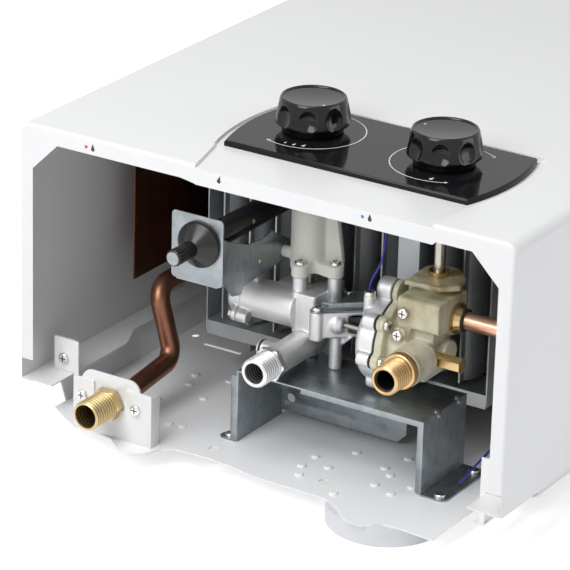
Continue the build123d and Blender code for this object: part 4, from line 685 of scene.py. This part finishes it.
for sheetName, (sheetNode, sheetEdge) in sheets.items():
    makeSheet(sheetName, sheetNode, sheetEdge)
print("sheet parts made")


batteryCap = {"ribs": 16, "ribDepth": 0.6, "gripRadius": 6.0, "gripLength": 22.0, "rimRadius": 16.6,
              "rimStart": 30.0, "rimEnd": 33.0, "plug": 7.2, "segments": 128,
              "faceRadius": 4.7, "faceProud": 0.12, "faceThick": 0.4}


def makeBatteryCap():
    # ribbed grip, cone and rim, with the plug that goes into the tube
    centre, low, size = boxOf("battery_cap")
    tip = Vector((centre.x, low.y, centre.z))
    grip = batteryCap["gripRadius"]

    def ribbed(angle):
        wave = 0.5 + 0.5 * math.cos(angle * batteryCap["ribs"])
        return (grip - batteryCap["ribDepth"] * wave ** 2) * mm
    root, rim, start, end = (batteryCap[key] for key in ("gripLength", "rimRadius", "rimStart", "rimEnd"))
    rings = [(0.0, 0.2), (0.0, grip - 1.6), (0.3, grip - 0.9), (1.0, ribbed), (root - 1.0, ribbed)]
    rings += [(root - 0.4, grip - 0.3), (root, grip + 0.4), (root + 0.7, grip + 1.4)]
    rings += [(start - 0.8, rim - 1.2), (start, rim - 0.5), (start + 0.5, rim - 0.1), (start + 0.9, rim)]
    rings += [(end - 0.3, rim), (end, rim - 0.3), (end, batteryCap["plug"]), (size.y, batteryCap["plug"])]
    cap = turned(tip, (0, 1, 0), (0, 0, 1), metres(rings), batteryCap["segments"])
    mesh = meshFrom("batteryCapTurned", *cap)
    finishMesh("batteryCapTurned", mesh, "black_plastic", "battery_cap", ["battery_cap"], 40)
    rings = metres([(0, batteryCap["faceRadius"]), (batteryCap["faceThick"], batteryCap["faceRadius"])])
    face = turned(tip - Vector((0, batteryCap["faceProud"] * mm, 0)), (0, 1, 0), (0, 0, 1), rings, 40)
    finishMesh("batteryCapFace", meshFrom("batteryCapFace", *face), "galvanised", "battery_cap")


makeBatteryCap()
print("battery cap made")


# printed rings, arrows and drops round the knobs; a dial is (start, end) in degrees
prints = {"ringRadius": 37.0, "ringWidth": 0.75, "lift": 0.06, "sunk": 0.02, "arrow": 1.6,
          "dropsIn": 4.6, "dropTip": 2.7}
dials = {"gas_knob": (-112, 160), "water_knob": (55, 300)}


def flatRing(centre, start, end):
    points = []
    faces = []
    steps = max(8, int(abs(end - start)))
    for step in range(steps + 1):
        angle = math.radians(start + (end - start) * step / steps)
        way = Vector((math.cos(angle), math.sin(angle), 0))
        for side in (-0.5, 0.5):
            spot = centre + way * (prints["ringRadius"] + side * prints["ringWidth"]) * mm
            points += [spot, spot + Vector((0, 0, prints["lift"] * mm))]
    for step in range(steps):
        a = step * 4
        faces += [(a, a + 2, a + 6, a + 4), (a + 1, a + 5, a + 7, a + 3)]
        faces += [(a, a + 4, a + 5, a + 1), (a + 2, a + 3, a + 7, a + 6)]
    a = steps * 4
    faces += [(0, 1, 3, 2), (a, a + 2, a + 3, a + 1)]
    return points, faces


def makeDialRings():
    parts = []
    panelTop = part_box("control_panel")[1].z
    for node, (start, end) in dials.items():
        centre = boxOf(node)[0]
        parts.append(flatRing(Vector((centre.x, centre.y, panelTop)), start, end))
    finishMesh("dialRings", meshFrom("dialRings", *joined(parts)), "ceramic", "heater")


def flatPrint(outline, origin, right, up):
    # a flat outline raised a little from the face that it is printed on
    out = right.cross(up)
    low = [origin + right * x * mm + up * y * mm - out * prints["sunk"] * mm for x, y in outline]
    high = [point + out * (prints["lift"] + prints["sunk"]) * mm for point in low]
    n = len(outline)
    faces = [tuple(reversed(range(n))), tuple(range(n, 2 * n))]
    faces += [(k, (k + 1) % n, (k + 1) % n + n, k + n) for k in range(n)]
    return low + high, faces


def dropOutline(x, y, size, lean=0.0):
    # a round belly, open for 110 degrees at the top, and its tip
    points = []
    for step in range(14):
        angle = math.radians(-215 + 250 * step / 13)
        points.append((x + size * math.cos(angle), y + size * math.sin(angle)))
    points.append((x + lean * size, y + prints["dropTip"] * size))
    return points


def dotOutline(x, y, size):
    turns = [math.radians(angle) for angle in range(0, 360, 15)]
    return [(x + size * math.cos(turn), y + size * math.sin(turn)) for turn in turns]


def arrowOutline(x, y, angle, forward):
    # a triangle at the end of the ring, with its tip ahead along the ring
    radius = prints["ringRadius"]
    size = prints["arrow"]
    turn = math.radians(angle)
    tip = turn + forward * 1.6 * size / radius
    points = [((radius - size) * math.cos(turn), (radius - size) * math.sin(turn)),
              ((radius + size) * math.cos(turn), (radius + size) * math.sin(turn)),
              (radius * math.cos(tip), radius * math.sin(tip))]
    if forward < 0:
        points.reverse()
    return [(x + alongX, y + alongY) for alongX, alongY in points]


# the marks on the cover's lip stand over the ports
lipMarks = {"redX": -139.0, "blueX": 81.0, "flameX": -31.0, "height": 187.2, "dot": 1.25, "drop": 1.5,
            "dropDown": 0.8, "gap": 5.5, "flameLean": 0.6}


def makeLipMarks():
    z = lipMarks["height"]
    dropZ = z - lipMarks["dropDown"]
    drops = [dropOutline(lipMarks["redX"] + lipMarks["gap"], dropZ, lipMarks["drop"]),
             dropOutline(lipMarks["flameX"], dropZ, lipMarks["drop"], lipMarks["flameLean"]),
             dropOutline(lipMarks["blueX"] + lipMarks["gap"], dropZ, lipMarks["drop"])]
    for name, finish, outlines in (
        ("hotDot", "redPrint", [dotOutline(lipMarks["redX"], z, lipMarks["dot"])]),
        ("coldDot", "bluePrint", [dotOutline(lipMarks["blueX"], z, lipMarks["dot"])]),
        ("lipPictograms", "blackPrint", drops),
    ):
        flat = [flatPrint(outline, mouth, Vector((1, 0, 0)), Vector((0, 0, 1))) for outline in outlines]
        finishMesh(name, meshFrom(name, *joined(flat)), "ceramic", "heater", finish=finish)


def makeDialMarks():
    # arrows at both ends of each ring, three growing drops after its start and one before its end
    outlines = []
    for node, (start, end) in dials.items():
        x, y = (boxOf(node)[0] / mm).xy
        outlines += [arrowOutline(x, y, start, -1), arrowOutline(x, y, end, 1)]
        reach = prints["ringRadius"] - prints["dropsIn"]
        for angle, size in ((start + 18, 0.8), (start + 30, 1.0), (start + 42, 1.2), (end - 16, 1.3)):
            turn = math.radians(angle)
            outlines.append(dropOutline(x + reach * math.cos(turn), y + reach * math.sin(turn), size, 0.4))
    top = Vector((0, 0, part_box("control_panel")[1].z))
    flat = [flatPrint(outline, top, Vector((1, 0, 0)), Vector((0, 1, 0))) for outline in outlines]
    finishMesh("dialMarks", meshFrom("dialMarks", *joined(flat)), "ceramic", "heater")


makeDialRings()
makeLipMarks()
makeDialMarks()
print("prints made")


# rivets of the battery bracket, pressings of the table's leg, sealing ring of the side boss
small = {"rivet": 2.0, "rivetRise": 0.9, "armRivet": (65.8, 105.6), "tabRivet": (-48.0, 71.7, 130.7),
         "press": 3.4, "pressRise": 1.5, "pressings": ((109.8, 62.3, 30.6), (109.8, 90.0, 30.6)),
         "ringRadius": 5.5, "ring": (-25.6, 52, 48.3)}


def domePart(centre, axis, radius, rise):
    axis = Vector(axis).normalized()
    rings = [(-0.4 * mm, radius * mm)]
    for share in (0.0, 0.2, 0.4, 0.6, 0.8, 0.97):
        turn = math.pi / 2 * share
        rings.append((rise * mm * math.sin(turn), radius * mm * math.cos(turn)))
    return turned(centre, axis, axis.orthogonal(), rings, 28)


def makeSmallFittings():
    armX = (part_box("battery_bracket")[1].x - mouth.x) / mm
    rivets = [domePart(at(armX, *small["armRivet"]), (1, 0, 0), small["rivet"], small["rivetRise"]),
              domePart(at(*small["tabRivet"]), (1, 0, 0.1), small["rivet"], small["rivetRise"])]
    finishMesh("bracketRivets", meshFrom("bracketRivets", *joined(rivets)), "brass", "heater")
    pressed = [domePart(at(*spot), (1, 0, 0.9), small["press"], small["pressRise"])
               for spot in small["pressings"]]
    finishMesh("tablePressings", meshFrom("tablePressings", *joined(pressed)), "galvanised", "heater")
    r = small["ringRadius"]
    band = [(-0.8, r - 0.4), (-0.8, r + 0.2), (-0.4, r + 0.5)]
    band += [(-along, radius) for along, radius in reversed(band)]
    ring = turned(at(*small["ring"]), (1, 0, 0), (0, 0, 1), metres(band), 40)
    finishMesh("sideBossRing", meshFrom("sideBossRing", *ring), "rubber", "heater")


makeSmallFittings()
print("small fittings made")


# floor size in metres, its drop under the feet in millimetres; glow whitens the floor where it is
# looked at, and the room is the strength of the soft light from all round
stageSet = {"floorSize": 12, "floorDrop": 0.2, "floorColour": (0.86, 0.86, 0.87), "glow": 0.55,
            "room": 0.22, "roomColour": (0.97, 0.98, 1.0)}


def makeFloor():
    s = stageSet["floorSize"] / 2
    mesh = meshFrom("floor", [(-s, -s, 0), (s, -s, 0), (s, s, 0), (-s, s, 0)], [(0, 1, 2, 3)])
    floor = bpy.data.objects.new("floor", mesh)
    bpy.context.scene.collection.objects.link(floor)
    floor.location.z = -stageSet["floorDrop"] * mm
    f = Finish("floorPaper")
    grain = f.noise(3.0)
    dark = rgb(*stageSet["floorColour"])
    light = rgb(*(level + 0.02 for level in stageSet["floorColour"]))
    f.give(Base_Color=f.tint(grain, dark, light), Roughness=0.8 + 0.1 * grain)
    strength = f.seen() * stageSet["glow"]
    glow = f.add("ShaderNodeEmission", None, {"Color": rgb(1, 1, 1), "Strength": strength})
    both = f.add("ShaderNodeAddShader", None, {0: Value(f, f.shader.outputs[0]), 1: glow})
    f.feed(f.tree.nodes["Material Output"].inputs["Surface"], both)
    mesh.materials.append(f.material)


def makeWorld():
    world = bpy.data.worlds.new("studio")
    bpy.context.scene.world = world
    world.use_nodes = True
    world.node_tree.nodes.clear()
    w = NodeTree(world.node_tree)
    roomValues = {"Color": rgb(*stageSet["roomColour"]), "Strength": stageSet["room"]}
    room = w.add("ShaderNodeBackground", None, roomValues)
    white = w.add("ShaderNodeBackground", None, {"Color": rgb(1, 1, 1), "Strength": 1.0})
    mixed = w.add("ShaderNodeMixShader", None, {"Fac": w.seen(), 1: room, 2: white})
    w.add("ShaderNodeOutputWorld", None, {"Surface": mixed})


# places in millimetres, sizes in metres, powers in watts
lamps = {
    "skyLamp": {"place": (-200, -650, 1750), "aim": (0, 40, 40), "size": 1.3, "power": 21},
    "frontLamp": {"place": (-250, -1600, 1250), "aim": (0, 60, 0), "size": 1.0, "power": 17.5},
    "sideLamp": {"place": (1600, 600, 350), "aim": (195, 250, 80), "size": 1.2, "power": 9},
}


def makeLamps():
    for name, lamp in lamps.items():
        data = bpy.data.lights.new(name, "AREA")
        data.shape = "SQUARE"
        data.size = lamp["size"]
        data.energy = lamp["power"]
        light = bpy.data.objects.new(name, data)
        bpy.context.scene.collection.objects.link(light)
        place = at(*lamp["place"])
        light.location = place
        light.rotation_euler = (at(*lamp["aim"]) - place).to_track_quat("-Z", "Y").to_euler()


makeFloor()
makeWorld()
makeLamps()
bpy.context.scene.view_settings.view_transform = "Standard"
print("stage set")
